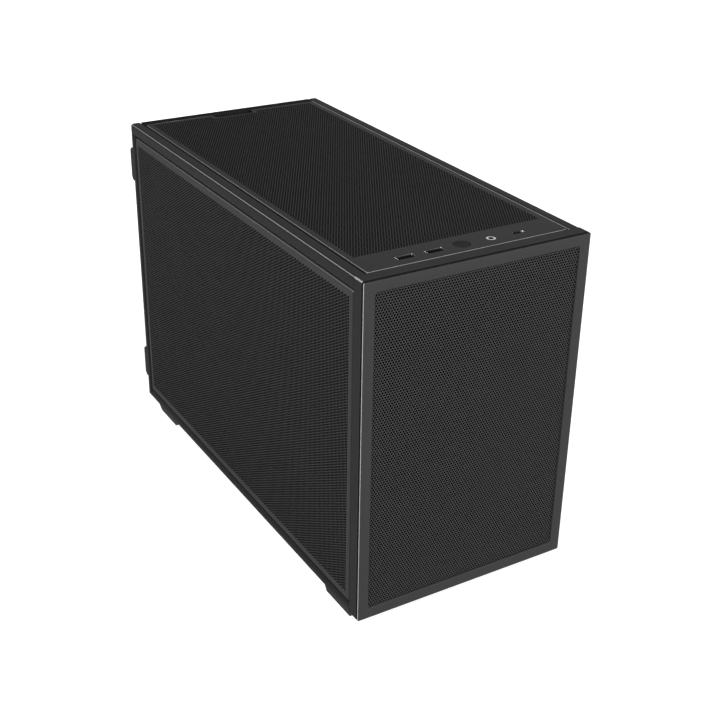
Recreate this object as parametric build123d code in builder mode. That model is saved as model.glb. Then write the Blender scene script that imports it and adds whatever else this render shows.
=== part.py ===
from build123d import *
import os

os.makedirs("parts", exist_ok=True)

# The case stands on its feet: X runs to the right as seen from the front, Y to the back,
# Z up. The origin lies under the middle of the whole part, on the floor.

# Body and what stands out of it
body_width = 167.0
body_depth = 357.0
body_height = 242.0
foot_drop = 5.0
tab_reach = 5.5

# Sheet metal
frame_sheet = 1.0
panel_sheet = 0.8
bend_radius = 1.2
seam_gap = 0.3
fit_gap = 0.1

# Front panel: a flat frame with a perforated sheet behind it
front_sheet = 1.2
front_border = 8.0
front_corner = 0.8
front_edge_bevel = 0.4
front_mesh_sheet = 0.6
front_mesh_overlap = 2.0
front_mesh_notch = 8.0
front_gap = 0.8

# Frame strips that show round the panels
front_return = 8.7
top_side_strip = 8.5
top_rear_strip = 6.0
side_top_strip = 8.5
side_rear_strip = 5.0
side_bottom_strip = 6.5
rail_lip = 7.0
rail_fold = 6.5
under_flange = 25.5

# Gaps round the side panels and the top panel
side_gap_front = 1.1
side_gap_rear = 3.0
side_gap_top = 1.0
side_gap_bottom = 2.5
top_gap_front = 1.3
top_gap_rear = 1.5
top_gap_side = 1.0

# Folded panels and their perforated fields
panel_return = 7.0
panel_edge_bevel = 0.6
panel_margin = 4.0
io_strip = 23.5
ear_length = 16.0
ear_height = 14.0
side_hole_pitch = 44.0
top_hole_pitch = 37.0
front_hole_pitch = 37.0
open_share = 0.42
filter_sheet = 0.5
filter_gap = 0.6

# Finger notch in the rear edge of the top panel
notch_width = 34.5
notch_depth = 7.5
notch_corner = 2.5

# Flanges inside the panels that hold the snap catches
flange_setback = 9.0
flange_reach = 19.0
flange_tab_gap = 4.0

# Snap hooks and catches
hook_width = 3.0
hook_stem = 1.6
hook_head = 2.6
hook_tip = 1.0
hook_grip = 2.0
hook_shoulder = 0.4
hook_head_length = 2.2
catch_play = 0.3
catch_wall = 1.0
catch_collar = 0.6
catch_collar_height = 0.7
catch_depth = 2.5
hook_inset_side_y = 9.0
hook_inset_side_z = 9.0
hook_inset_top_x = 10.0
hook_inset_top_y = 9.0

# Rear tabs
tab_height = 27.0
tab_corner = 2.5
upper_tab_drop = 20.0
lower_tab_rise = 18.5

# Front opening of the frame
front_frame_opening_x = 136.0
front_frame_opening_rise = 21.0
front_frame_opening_drop = 19.0

# Base
base_front_fold = 12.0
base_rear_fold = 10.0
vent_slot_length = 34.0
vent_slot_width = 7.0
vent_slot_pitch = 16.5
vent_rows = 12
base_filter_height = 0.9
base_filter_rim = 6.0
base_filter_columns = 2
base_filter_rows = 3
base_filter_skin = 0.3

# Main board tray and the pattern of a small square main board
tray_gap_right = 16.5
tray_length = 190.0
tray_top_gap = 11.0
tray_fold = 9.0
standoff_height = 6.5
standoff_flats = 5.5
standoff_bore = 1.25
board_sheet = 1.6
board_rear_gap = 5.0
board_hole_rear = 10.16
board_hole_io = 33.02
board_hole_front = 165.1
board_hole_top = 6.35
board_hole_under_slots = 2.03
board_top_gap = 3.16
board_cutout_width = 84.0
board_cutout_height = 92.0
cable_slot_width = 18.0
cable_slot_height = 56.0
cable_slot_inset = 20.0

# Rear wall
io_above_slots = 1.75
io_width = 44.45
io_drop = 1.3
io_below_board = 3.81
slot_pitch = 20.32
slot_count = 3
slot_opening_height = 12.5
slot_opening_end = 8.0
slot_recess = 12.0
slot_recess_margin = 11.2
slot_recess_right_gap = 2.0
slot_recess_from_left = 35.5
slot_opening_start = 7.0
cover_sheet = 0.8
cover_height = 18.4
cover_tongue = 5.0
cover_tongue_height = 10.0
cover_tab = 10.5
fan_grille_gap = 8.33
fan_grille_pitch = 13.0
fan_grille_web = 2.4
fan_grille_rows = 9
rear_fan_hole_inset = 0.75
rear_fan_hole_radius = 2.2
rear_fan_margin = 8.0

# Mains inlet
inlet_body_width = 27.2
inlet_body_height = 20.0
inlet_body_depth = 22.0
inlet_flange_width = 50.0
inlet_flange_height = 24.0
inlet_flange_sheet = 3.0
inlet_hole_spacing = 40.0
inlet_mouth_width = 24.2
inlet_mouth_height = 16.6
inlet_mouth_corner = 4.0
inlet_mouth_depth = 18.0
inlet_above_fan = 62.0
pin_long = 4.0
pin_thick = 2.0
pin_length = 15.0
pin_spacing = 14.0
pin_drop = 2.0
earth_rise = 3.5

# Power supply bracket
supply_bracket_height = 72.0
supply_bracket_behind_front = 46.0
supply_ear_start = 14.0
supply_spacing_x = 113.0
supply_spacing_z = 51.5
supply_hole_radius = 1.75
supply_opening_x = 98.0
supply_opening_z = 46.0
supply_gap = 2.0

# Connector row in the top panel
port_row_behind_front = 22.5
usb_a_far = -0.24551 * body_width
usb_a_near = -0.11976 * body_width
jack_place = 0.13174 * body_width
usb_c_place = 0.25749 * body_width
usb_a_length = 13.1
usb_a_width = 5.7
usb_a_wall = 0.4
usb_a_depth = 12.0
usb_a_tongue_length = 10.6
usb_a_tongue = 1.9
usb_a_tongue_shift = 0.95
usb_c_length = 9.3
usb_c_width = 3.5
usb_c_wall = 0.35
usb_c_depth = 7.0
usb_c_tongue_length = 6.7
usb_c_tongue_sheet = 0.7
jack_ring_radius = 3.15
jack_bore_radius = 1.8
jack_ring_height = 2.0
jack_body_length = 8.0
jack_body_width = 6.6
jack_bore_depth = 15.0
port_play = 0.2
port_sink = 0.2
tongue_sink = 0.8
io_board_margin = 2.45
io_board_width = 20.0
io_board_drop = 16.4
io_bracket_depth = 22.0
io_bracket_behind_front = 12.6
io_bracket_play = 0.5

# Power button on its push switch
button_radius = 5.5
button_play = 0.3
button_travel = 1.0
button_flange = 1.1
button_flange_height = 1.0
button_stem_width = 4.0
guide_wall = 1.0
guide_play = 0.25
guide_top_gap = 0.5
switch_side = 6.0
switch_height = 4.0
plunger_width = 3.0
plunger_play = 0.15
plunger_reach = 1.6
plunger_sunk = 1.0

# Feet
foot_width = 20.0
foot_inset = 1.5
front_foot_start = 9.5
front_foot_length = 37.5
front_foot_slope = 3.0
rear_foot_start = 296.0
rear_foot_length = 44.0
rear_foot_slope = 7.0
pad_height = 1.2
pad_margin = 2.5
pad_proud = 0.4

# Screws
screw_radius = 1.5
screw_play = 0.1
screw_head_radius = 3.0
screw_head_height = 1.8
screw_length = 6.0

# Planes of the body, all worked out from the sizes above
front = -(body_depth + tab_reach) / 2
back = front + body_depth
half_width = body_width / 2
floor = foot_drop
roof = floor + body_height
mid_height = floor + body_height / 2
frame_front = front + front_sheet + front_gap
frame_front_end = frame_front + front_return
rail_front = frame_front_end + seam_gap
side_front = frame_front_end + side_gap_front
side_back = back - side_rear_strip - side_gap_rear
side_low = floor + side_bottom_strip + side_gap_bottom
side_high = roof - side_top_strip - side_gap_top
top_half = half_width - top_side_strip - top_gap_side
top_front = frame_front_end + top_gap_front
top_back = back - top_rear_strip - top_gap_rear
flange_face = half_width - flange_setback
flange_roof = roof - flange_setback
tab_under = flange_roof - frame_sheet
frame_floor = floor + frame_sheet
base_top = frame_floor + frame_sheet
wall_front = back - frame_sheet
inner_half = half_width - frame_sheet - fit_gap
bend_room = bend_radius + fit_gap
base_half = half_width - frame_sheet - bend_room
field_back = top_back - panel_margin
field_front = top_front + io_strip
port_row = front + port_row_behind_front
tray_x = half_width - tray_gap_right
tray_high = roof - tray_top_gap
board_top_x = tray_x - standoff_height - board_sheet
board_back = wall_front - board_rear_gap
first_slot = base_top + frame_sheet + slot_recess_margin
recess_high = first_slot + (slot_count - 1) * slot_pitch + slot_recess_margin
board_high = tray_high - board_top_gap
board_low_hole = recess_high - board_hole_under_slots
io_board_half = -usb_a_far + usb_a_length / 2 + io_board_margin
bracket_half = io_board_half + bend_radius + frame_sheet
tab_inner = bracket_half + frame_sheet + seam_gap
tab_outer = top_half - flange_tab_gap
ear_x = half_width - panel_return
ear_gap = flange_setback - panel_return
wall_fold_front = back - side_rear_strip + frame_sheet
cover_screw_y = back - slot_recess / 2
foot_middle_x = half_width - foot_inset - foot_width / 2
foot_kinds = [
    (front_foot_start, front_foot_length, front_foot_slope),
    (rear_foot_start, rear_foot_length, rear_foot_slope),
]
left_foot_screws = [
    (-foot_middle_x, front + start + length / 2) for start, length, _ in foot_kinds
]
right_foot_screws = [(-x, y) for x, y in left_foot_screws]
catch_half = (max(hook_head, hook_width) + 2 * catch_play + 2 * catch_wall) / 2
bracket_ear = top_half - hook_inset_top_x - catch_half - io_bracket_play
supply_high = side_high - hook_inset_side_z - catch_half - supply_gap
supply_mid = supply_high - supply_bracket_height / 2


def facing_front(y):
    """Plane across the case at one depth: its x is X, its y is Z, its normal looks forward."""
    return Plane.XZ.offset(-y)


def folded(points, sheet, side, bend=bend_radius):
    """Section of a folded sheet: a line with its bends, thickened to one side."""
    with BuildSketch() as section:
        with BuildLine():
            if bend:
                outer = FilletPolyline(*points, radius=bend + sheet)
            else:
                outer = Polyline(*points)
            offset(outer, amount=sheet, side=side, kind=Kind.INTERSECTION)
        make_face()
    return section.sketch


def diamond_field(width, height, pitch):
    """Diamonds in staggered rows that fill a field, sized for the open share of the sheet."""
    columns = max(2, int(width / pitch))
    rows = max(2, int(height / pitch))
    step_x = width / columns
    step_y = height / rows
    side = (open_share * step_x * step_y / 2) ** 0.5
    with BuildSketch() as field:
        with GridLocations(step_x, step_y, columns, rows):
            Rectangle(side, side, rotation=45)
        with GridLocations(step_x, step_y, columns - 1, rows - 1):
            Rectangle(side, side, rotation=45)
    return field.sketch


def hook_profile(gap):
    """Barbed hook seen from the side, from its panel at 0 through a gap and a frame sheet."""
    neck = gap + frame_sheet + hook_grip
    with BuildSketch() as profile:
        with BuildLine():
            Polyline(
                (-hook_stem / 2, 0),
                (-hook_stem / 2, neck),
                (-hook_head / 2, neck + hook_shoulder),
                (-hook_tip / 2, neck + hook_head_length),
                (hook_tip / 2, neck + hook_head_length),
                (hook_head / 2, neck + hook_shoulder),
                (hook_stem / 2, neck),
                (hook_stem / 2, 0),
                close=True,
            )
        make_face()
    return profile.sketch


def snap_hooks(seats, gap):
    """One barbed hook on each seat, whose z axis points from the panel into the frame."""
    with BuildPart() as hook:
        with BuildSketch(Plane.XZ.offset(-hook_width / 2)):
            add(hook_profile(gap))
        extrude(amount=hook_width)
    with BuildPart() as hooks:
        with Locations(*seats):
            add(hook.part)
    return hooks


def catch_size(play):
    """Sides of the square window that a catch fills, widened by a play."""
    return 2 * catch_half + 2 * play


def snap_catches(seats, gap):
    """One catch for each hook: a collar on the frame sheet and a sleeve through its window."""
    with BuildPart() as catch:
        with BuildSketch(Plane.XY.offset(gap - catch_collar_height)):
            Rectangle(catch_size(catch_collar), catch_size(catch_collar))
        extrude(amount=catch_collar_height)
        with BuildSketch(Plane.XY.offset(gap)):
            Rectangle(catch_size(0), catch_size(0))
        extrude(amount=frame_sheet + catch_depth)
        with BuildSketch(Plane.XY.offset(gap - catch_collar_height)):
            Rectangle(hook_head + 2 * catch_play, hook_width + 2 * catch_play)
        extrude(amount=catch_collar_height + frame_sheet + catch_depth, mode=Mode.SUBTRACT)
    with BuildPart() as catches:
        with Locations(*seats):
            add(catch.part)
    return catches


def screws(seats, length):
    """Six-sided screws, each with its head standing on its seat and its shank going down."""
    with BuildPart() as screw:
        with BuildSketch():
            RegularPolygon(screw_head_radius, 6)
        extrude(amount=screw_head_height)
        with BuildSketch():
            RegularPolygon(screw_radius, 6)
        extrude(amount=-length)
    with BuildPart() as group:
        with Locations(*seats):
            add(screw.part)
    return group


def finish(piece, label):
    """Give a finished piece its name and write it to its own file."""
    piece.part.label = label
    export_step(piece.part, f"parts/{label}.step")


# Places of the hooks, each as a plane whose z axis points into the frame
left_hook_seats = [
    Plane((-ear_x, y, z), x_dir=(0, 1, 0), z_dir=(1, 0, 0))
    for y in (side_front + hook_inset_side_y, side_back - hook_inset_side_y)
    for z in (side_low + hook_inset_side_z, side_high - hook_inset_side_z)
]
top_hook_seats = [
    Plane((x, y, roof - panel_return), x_dir=(1, 0, 0), z_dir=(0, 0, -1))
    for x in (-top_half + hook_inset_top_x, top_half - hook_inset_top_x)
    for y in (top_front + hook_inset_top_y, top_back - hook_inset_top_y)
]
front_hook_x = half_width - frame_sheet - catch_size(catch_collar + fit_gap) / 2
front_hook_rise = 2 * frame_sheet + catch_size(catch_play) / 2
front_hook_seats = [
    Plane((x, front + front_sheet, z), x_dir=(1, 0, 0), z_dir=(0, 1, 0))
    for x in (-front_hook_x, front_hook_x)
    for z in (floor + front_hook_rise, roof - front_hook_rise)
]


# Front panel
front_opening_width = body_width - 2 * front_border
front_opening_height = body_height - 2 * front_border

with BuildPart() as front_frame:
    with BuildSketch(facing_front(front)) as front_outline:
        with Locations((0, mid_height)):
            Rectangle(body_width, body_height)
        chamfer(front_outline.vertices(), length=front_corner)
        with Locations((0, mid_height)):
            Rectangle(front_opening_width, front_opening_height, mode=Mode.SUBTRACT)
    extrude(amount=-front_sheet)
    chamfer(
        front_frame.faces().sort_by(Axis.Y)[0].outer_wire().edges(),
        length=front_edge_bevel,
    )
finish(front_frame, "front_frame")

mesh_width = front_opening_width + 2 * front_mesh_overlap
mesh_height = front_opening_height + 2 * front_mesh_overlap

with BuildPart() as front_mesh:
    with BuildSketch(facing_front(front + front_sheet)):
        with Locations((0, mid_height)):
            Rectangle(mesh_width, mesh_height)
            add(
                diamond_field(front_opening_width, front_opening_height, front_hole_pitch),
                mode=Mode.SUBTRACT,
            )
            with GridLocations(
                mesh_width - front_mesh_notch, mesh_height - front_mesh_notch, 2, 2
            ):
                Rectangle(front_mesh_notch, front_mesh_notch, mode=Mode.SUBTRACT)
    extrude(amount=-front_mesh_sheet)
finish(front_mesh, "front_mesh")

front_panel_hooks = snap_hooks(front_hook_seats, front_gap)
finish(front_panel_hooks, "front_panel_hooks")

frame_opening_height = body_height - front_frame_opening_rise - front_frame_opening_drop
frame_opening_mid = floor + front_frame_opening_rise + frame_opening_height / 2

with BuildPart() as front_filter:
    with BuildSketch(facing_front(front + front_sheet + front_mesh_sheet)):
        with Locations((0, frame_opening_mid)):
            Rectangle(
                front_frame_opening_x - 2 * filter_gap,
                frame_opening_height - 2 * filter_gap,
            )
    extrude(amount=-filter_sheet)
finish(front_filter, "front_filter")


# Front of the frame: a folded pan with a step behind it and flanges for the panels
with BuildPart() as front_chassis:
    with BuildSketch(facing_front(frame_front)) as frame_outline:
        with Locations((0, mid_height)):
            Rectangle(body_width, body_height)
        chamfer(frame_outline.vertices(), length=front_corner)
    extrude(amount=-front_return)
    offset(
        amount=-frame_sheet,
        openings=front_chassis.faces().sort_by(Axis.Y)[-1],
    )
    with BuildSketch(facing_front(frame_front)):
        with Locations((0, frame_opening_mid)):
            Rectangle(front_frame_opening_x, frame_opening_height)
        with Locations(*[(seat.origin.X, seat.origin.Z) for seat in front_hook_seats]):
            Rectangle(catch_size(fit_gap), catch_size(fit_gap))
    extrude(amount=-frame_sheet, mode=Mode.SUBTRACT)
    with BuildSketch(facing_front(frame_front_end - frame_sheet)):
        with BuildLine():
            Polyline(
                (-half_width + frame_sheet, base_top + seam_gap),
                (-half_width + frame_sheet, roof - frame_sheet),
                (half_width - frame_sheet, roof - frame_sheet),
                (half_width - frame_sheet, base_top + seam_gap),
                (flange_face - frame_sheet, base_top + seam_gap),
                (flange_face - frame_sheet, flange_roof - frame_sheet),
                (-flange_face + frame_sheet, flange_roof - frame_sheet),
                (-flange_face + frame_sheet, base_top + seam_gap),
                close=True,
            )
        make_face()
    extrude(amount=-frame_sheet)
    for x in (-flange_face, flange_face - frame_sheet):
        with BuildSketch(Plane.YZ.offset(x)):
            with Locations((frame_front_end, side_low)):
                Rectangle(
                    flange_reach,
                    side_high - side_low,
                    align=(Align.MIN, Align.MIN),
                )
            with Locations(*[(seat.origin.Y, seat.origin.Z) for seat in left_hook_seats[:2]]):
                Rectangle(catch_size(fit_gap), catch_size(fit_gap), mode=Mode.SUBTRACT)
        extrude(amount=frame_sheet)
    with BuildSketch(Plane.XY.offset(flange_roof - frame_sheet)):
        with Locations((-tab_inner, frame_front_end), (tab_outer, frame_front_end)):
            Rectangle(
                tab_outer - tab_inner, flange_reach, align=(Align.MAX, Align.MIN)
            )
        with Locations(*[(seat.origin.X, seat.origin.Y) for seat in top_hook_seats[::2]]):
            Rectangle(catch_size(fit_gap), catch_size(fit_gap), mode=Mode.SUBTRACT)
    extrude(amount=frame_sheet)
finish(front_chassis, "front_chassis")

front_panel_catches = snap_catches(front_hook_seats, front_gap)
finish(front_panel_catches, "front_panel_catches")


# Side frames: a folded rail at the top and bottom and a folded column at the back
with BuildPart() as side_frame_left:
    with BuildSketch(facing_front(rail_front)):
        add(
            folded(
                [
                    (-half_width + top_side_strip, roof - rail_fold),
                    (-half_width + top_side_strip, roof),
                    (-half_width, roof),
                    (-half_width, roof - side_top_strip),
                    (-half_width + rail_lip, roof - side_top_strip),
                ],
                frame_sheet,
                Side.LEFT,
            )
        )
        add(
            folded(
                [
                    (-half_width + under_flange, floor),
                    (-half_width, floor),
                    (-half_width, floor + side_bottom_strip),
                    (-half_width + rail_lip, floor + side_bottom_strip),
                ],
                frame_sheet,
                Side.RIGHT,
            )
        )
    extrude(amount=-(back - rail_front))
    with BuildSketch(Plane.XY.offset(floor + side_bottom_strip - frame_sheet)):
        add(
            folded(
                [
                    (-half_width, back),
                    (-half_width, back - side_rear_strip),
                    (-flange_face + frame_sheet, back - side_rear_strip),
                ],
                frame_sheet,
                Side.LEFT,
            )
        )
    extrude(amount=body_height - side_bottom_strip - side_top_strip + 2 * frame_sheet)
    with BuildSketch(Plane.YZ.offset(-flange_face)):
        with Locations((wall_fold_front, side_low)):
            Rectangle(
                flange_reach,
                tab_under - seam_gap - side_low,
                align=(Align.MAX, Align.MIN),
            )
    extrude(amount=frame_sheet)
    with BuildSketch(facing_front(wall_fold_front - fit_gap)):
        with Locations((-half_width + frame_sheet, frame_floor)):
            Rectangle(
                under_flange,
                body_height - 2 * frame_sheet,
                align=(Align.MIN, Align.MIN),
            )
    extrude(amount=-side_rear_strip, mode=Mode.SUBTRACT)
    with BuildSketch(Plane.YZ.offset(-flange_face)):
        with Locations(*[(seat.origin.Y, seat.origin.Z) for seat in left_hook_seats[2:]]):
            Rectangle(catch_size(fit_gap), catch_size(fit_gap))
    extrude(amount=frame_sheet, mode=Mode.SUBTRACT)
    with BuildSketch(Plane.XY.offset(floor)):
        with Locations(*left_foot_screws):
            RegularPolygon(screw_radius + screw_play, 6)
    extrude(amount=frame_sheet, mode=Mode.SUBTRACT)
finish(side_frame_left, "side_frame_left")

with BuildPart() as side_frame_right:
    mirror(side_frame_left.part, about=Plane.YZ)
finish(side_frame_right, "side_frame_right")

with BuildPart() as rear_tabs:
    for x in (-half_width, half_width - frame_sheet):
        with BuildSketch(Plane.YZ.offset(x)) as tabs:
            for top in (roof - upper_tab_drop, floor + lower_tab_rise + tab_height):
                with Locations((back, top)):
                    Rectangle(tab_reach, tab_height, align=(Align.MIN, Align.MAX))
            chamfer(tabs.vertices().group_by(Axis.X)[-1], length=tab_corner)
        extrude(amount=frame_sheet)
finish(rear_tabs, "rear_tabs")


# Rear wall: folded at its sides, top and bottom, with a window for the slot covers
slot_heights = [first_slot + n * slot_pitch for n in range(slot_count)]
recess_right = tray_x - slot_recess_right_gap
recess_left = -half_width + slot_recess_from_left
recess_length = recess_right - recess_left
recess_low = slot_heights[0] - slot_recess_margin
recess_mid = (recess_low + recess_high) / 2
recess_face = back - slot_recess
io_right = board_top_x + io_below_board
io_left = io_right - io_width
io_high = board_high - io_drop
io_height = io_high - recess_high - io_above_slots
fan_grille_radius = (io_left + inner_half) / 2 - fan_grille_gap
fan_x = -inner_half + fan_grille_radius + rear_fan_margin
fan_z = recess_high + fan_grille_radius + rear_fan_margin
rear_fan_spacing = 2 * (fan_grille_radius - rear_fan_hole_inset)
inlet_z = fan_z + inlet_above_fan
wall_height = roof - frame_sheet - base_top

with BuildSketch() as fan_grille:
    with HexLocations(fan_grille_pitch / 2, fan_grille_rows, fan_grille_rows):
        RegularPolygon((fan_grille_pitch - fan_grille_web) / 2, 6, major_radius=False, rotation=30)
grille_holes = [
    cell
    for cell in fan_grille.faces()
    if (cell.center().X ** 2 + cell.center().Y ** 2) ** 0.5
    < fan_grille_radius - fan_grille_pitch / 2
]

with BuildPart() as rear_wall:
    with BuildSketch(facing_front(wall_front)):
        with Locations((0, base_top)):
            Rectangle(2 * inner_half, wall_height, align=(Align.CENTER, Align.MIN))
        with Locations((0, base_top + wall_height / 2)):
            with GridLocations(2 * inner_half, wall_height, 2, 2):
                Rectangle(2 * bend_room, 2 * bend_room, mode=Mode.SUBTRACT)
        with Locations((0, roof)):
            Rectangle(
                2 * (half_width - top_side_strip - fit_gap),
                2 * frame_sheet,
                align=(Align.CENTER, Align.MAX),
            )
        with Locations(((recess_left + recess_right) / 2, recess_mid)):
            Rectangle(recess_length, recess_high - recess_low, mode=Mode.SUBTRACT)
        with Locations((io_left, io_high)):
            Rectangle(io_width, io_height, align=(Align.MIN, Align.MAX), mode=Mode.SUBTRACT)
        with Locations((fan_x, fan_z)):
            add(grille_holes, mode=Mode.SUBTRACT)
            with GridLocations(rear_fan_spacing, rear_fan_spacing, 2, 2):
                Circle(rear_fan_hole_radius, mode=Mode.SUBTRACT)
        with Locations((fan_x, inlet_z)):
            Rectangle(
                inlet_body_width + 2 * fit_gap,
                inlet_body_height + 2 * fit_gap,
                mode=Mode.SUBTRACT,
            )
            with GridLocations(inlet_hole_spacing, 1, 2, 1):
                RegularPolygon(screw_radius + screw_play, 6, mode=Mode.SUBTRACT)
    extrude(amount=-frame_sheet)
    # Folds at the sides and the bottom
    for x in (-inner_half, inner_half - frame_sheet):
        with BuildSketch(Plane.YZ.offset(x)):
            with Locations((wall_front, base_top + bend_room)):
                Rectangle(
                    side_rear_strip - 2 * frame_sheet - fit_gap,
                    wall_height - 2 * bend_room,
                    align=(Align.MAX, Align.MIN),
                )
        extrude(amount=frame_sheet)
    with BuildSketch(Plane.XY.offset(base_top)):
        with Locations((0, wall_front)):
            Rectangle(2 * (inner_half - bend_room), base_rear_fold, align=(Align.CENTER, Align.MAX))
        with Locations(((recess_left + recess_right) / 2, wall_front)):
            Rectangle(
                recess_length + 2 * (frame_sheet + seam_gap),
                2 * slot_recess,
                mode=Mode.SUBTRACT,
            )
        with Locations((tray_x, wall_front)):
            Rectangle(
                2 * tray_fold, 2 * slot_recess, align=(Align.CENTER, Align.CENTER), mode=Mode.SUBTRACT
            )
    extrude(amount=frame_sheet)
    # Folded strip at the top, its step down and the flange for the top panel
    with BuildSketch(Plane.YZ.offset(-half_width + top_side_strip + fit_gap)):
        with BuildLine():
            Polyline(
                (wall_front, roof),
                (back - top_rear_strip, roof),
                (back - top_rear_strip, flange_roof - frame_sheet),
                (back - top_rear_strip + frame_sheet, flange_roof - frame_sheet),
                (back - top_rear_strip + frame_sheet, roof - frame_sheet),
                (wall_front, roof - frame_sheet),
                close=True,
            )
        make_face()
    extrude(amount=2 * (half_width - top_side_strip - fit_gap))
    with BuildSketch(Plane.XY.offset(flange_roof - frame_sheet)):
        for x in (-tab_inner, tab_outer):
            with Locations((x, back - top_rear_strip)):
                Rectangle(tab_outer - tab_inner, flange_reach, align=(Align.MAX, Align.MAX))
        with Locations(*[(seat.origin.X, seat.origin.Y) for seat in top_hook_seats[1::2]]):
            Rectangle(catch_size(fit_gap), catch_size(fit_gap), mode=Mode.SUBTRACT)
    extrude(amount=frame_sheet)
finish(rear_wall, "rear_wall")

# Pan behind a window of the rear wall, open to the rear, with the expansion slots in its face
with BuildPart() as slot_pan:
    with BuildSketch(facing_front(recess_face - frame_sheet)):
        with Locations(((recess_left + recess_right) / 2, recess_mid)):
            Rectangle(
                recess_length + 2 * frame_sheet,
                recess_high - recess_low + 2 * frame_sheet,
            )
    extrude(amount=-slot_recess)
    with BuildSketch(facing_front(recess_face)):
        with Locations(((recess_left + recess_right) / 2, recess_mid)):
            Rectangle(recess_length, recess_high - recess_low)
    extrude(amount=-slot_recess, mode=Mode.SUBTRACT)
    with BuildSketch(facing_front(recess_face - frame_sheet)):
        for height in slot_heights:
            with Locations((recess_left + slot_opening_start, height)):
                Rectangle(
                    recess_length - slot_opening_start - slot_opening_end,
                    slot_opening_height,
                    align=(Align.MIN, Align.CENTER),
                )
    extrude(amount=-frame_sheet, mode=Mode.SUBTRACT)
    with BuildSketch(Plane.YZ.offset(recess_left - frame_sheet)):
        with Locations(*[(cover_screw_y, height) for height in slot_heights]):
            RegularPolygon(screw_radius + screw_play, 6)
    extrude(amount=frame_sheet, mode=Mode.SUBTRACT)
finish(slot_pan, "slot_pan")


# Slot covers: a tongue at the tray end, a tab with a screw slot at the other
def slot_cover(height):
    """Blanking cover of one slot, lying against the inner face of the recess."""
    cover_right = recess_right - seam_gap
    with BuildPart() as cover:
        with BuildSketch(facing_front(recess_face - frame_sheet - cover_sheet)):
            with Locations((recess_left - frame_sheet - cover_sheet, height)):
                Rectangle(
                    cover_right - cover_tongue - recess_left + frame_sheet + cover_sheet,
                    cover_height,
                    align=(Align.MIN, Align.CENTER),
                )
            with Locations((cover_right, height)):
                Rectangle(
                    2 * cover_tongue, cover_tongue_height, align=(Align.MAX, Align.CENTER)
                )
        extrude(amount=-cover_sheet)
        with BuildSketch(Plane.YZ.offset(recess_left - frame_sheet - cover_sheet)):
            with Locations((recess_face - frame_sheet - cover_sheet, height)):
                Rectangle(cover_tab, cover_height, align=(Align.MIN, Align.CENTER))
            with Locations((cover_screw_y, height)):
                RegularPolygon(screw_radius + screw_play, 6, mode=Mode.SUBTRACT)
        extrude(amount=cover_sheet)
    return cover


for number, height in enumerate(slot_heights, start=1):
    finish(slot_cover(height), f"slot_cover_{number}")

slot_cover_screws = screws(
    [
        Plane(
            (recess_left - frame_sheet - cover_sheet, cover_screw_y, height),
            x_dir=(0, 1, 0),
            z_dir=(-1, 0, 0),
        )
        for height in slot_heights
    ],
    screw_length,
)
finish(slot_cover_screws, "slot_cover_screws")


# Mains inlet: a flange on the rear wall, a body behind it and three pins in its mouth
with BuildPart() as mains_inlet:
    with BuildSketch(facing_front(back)):
        with Locations((fan_x, inlet_z)):
            SlotOverall(inlet_flange_width, inlet_flange_height)
            with GridLocations(inlet_hole_spacing, 1, 2, 1):
                RegularPolygon(screw_radius + screw_play, 6, mode=Mode.SUBTRACT)
    extrude(amount=-inlet_flange_sheet)
    with BuildSketch(facing_front(back)):
        with Locations((fan_x, inlet_z)):
            Rectangle(inlet_body_width, inlet_body_height)
    extrude(amount=inlet_body_depth)
    with BuildSketch(facing_front(back + inlet_flange_sheet)) as mouth:
        with Locations((fan_x, inlet_z)):
            Rectangle(inlet_mouth_width, inlet_mouth_height)
        chamfer(mouth.vertices().group_by(Axis.Y)[-1], length=inlet_mouth_corner)
    extrude(amount=inlet_mouth_depth, mode=Mode.SUBTRACT)
finish(mains_inlet, "mains_inlet")

inlet_mouth_floor = back + inlet_flange_sheet - inlet_mouth_depth

with BuildPart() as mains_inlet_pins:
    with BuildSketch(facing_front(inlet_mouth_floor)):
        with Locations((fan_x, inlet_z - pin_drop)):
            with GridLocations(pin_spacing, 1, 2, 1):
                Rectangle(pin_thick, pin_long)
        with Locations((fan_x, inlet_z + earth_rise)):
            Rectangle(pin_thick, pin_long)
    extrude(amount=-pin_length)
finish(mains_inlet_pins, "mains_inlet_pins")

mains_inlet_screws = screws(
    [
        Plane((fan_x + x, back + inlet_flange_sheet, inlet_z), x_dir=(1, 0, 0), z_dir=(0, 1, 0))
        for x in (-inlet_hole_spacing / 2, inlet_hole_spacing / 2)
    ],
    screw_length,
)
finish(mains_inlet_screws, "mains_inlet_screws")


# Base tray: a plate with vent slots and a fold behind the front
with BuildPart() as base_tray:
    with BuildSketch(Plane.XY.offset(frame_floor)):
        with Locations((0, frame_front + frame_sheet)):
            Rectangle(
                2 * base_half,
                back - frame_front - frame_sheet,
                align=(Align.CENTER, Align.MIN),
            )
        with Locations((0, (rail_front + back) / 2)):
            with GridLocations(vent_slot_length + vent_slot_width, vent_slot_pitch, 2, vent_rows):
                Rectangle(vent_slot_length, vent_slot_width, mode=Mode.SUBTRACT)
        with Locations(*left_foot_screws, *right_foot_screws):
            RegularPolygon(screw_radius + screw_play, 6, mode=Mode.SUBTRACT)
    extrude(amount=frame_sheet)
    with BuildSketch(Plane.XY.offset(base_top)):
        with Locations((0, frame_front + frame_sheet)):
            Rectangle(2 * tab_outer, frame_sheet, align=(Align.CENTER, Align.MIN))
    extrude(amount=base_front_fold - frame_sheet)
finish(base_tray, "base_tray")

base_filter_width = 2 * (half_width - under_flange - filter_gap)
base_filter_front = rail_front + filter_gap
base_filter_back = back - side_rear_strip
filter_cell_width = (base_filter_width - base_filter_rim) / base_filter_columns - base_filter_rim
filter_cell_length = (
    base_filter_back - base_filter_front - base_filter_rim
) / base_filter_rows - base_filter_rim

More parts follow.
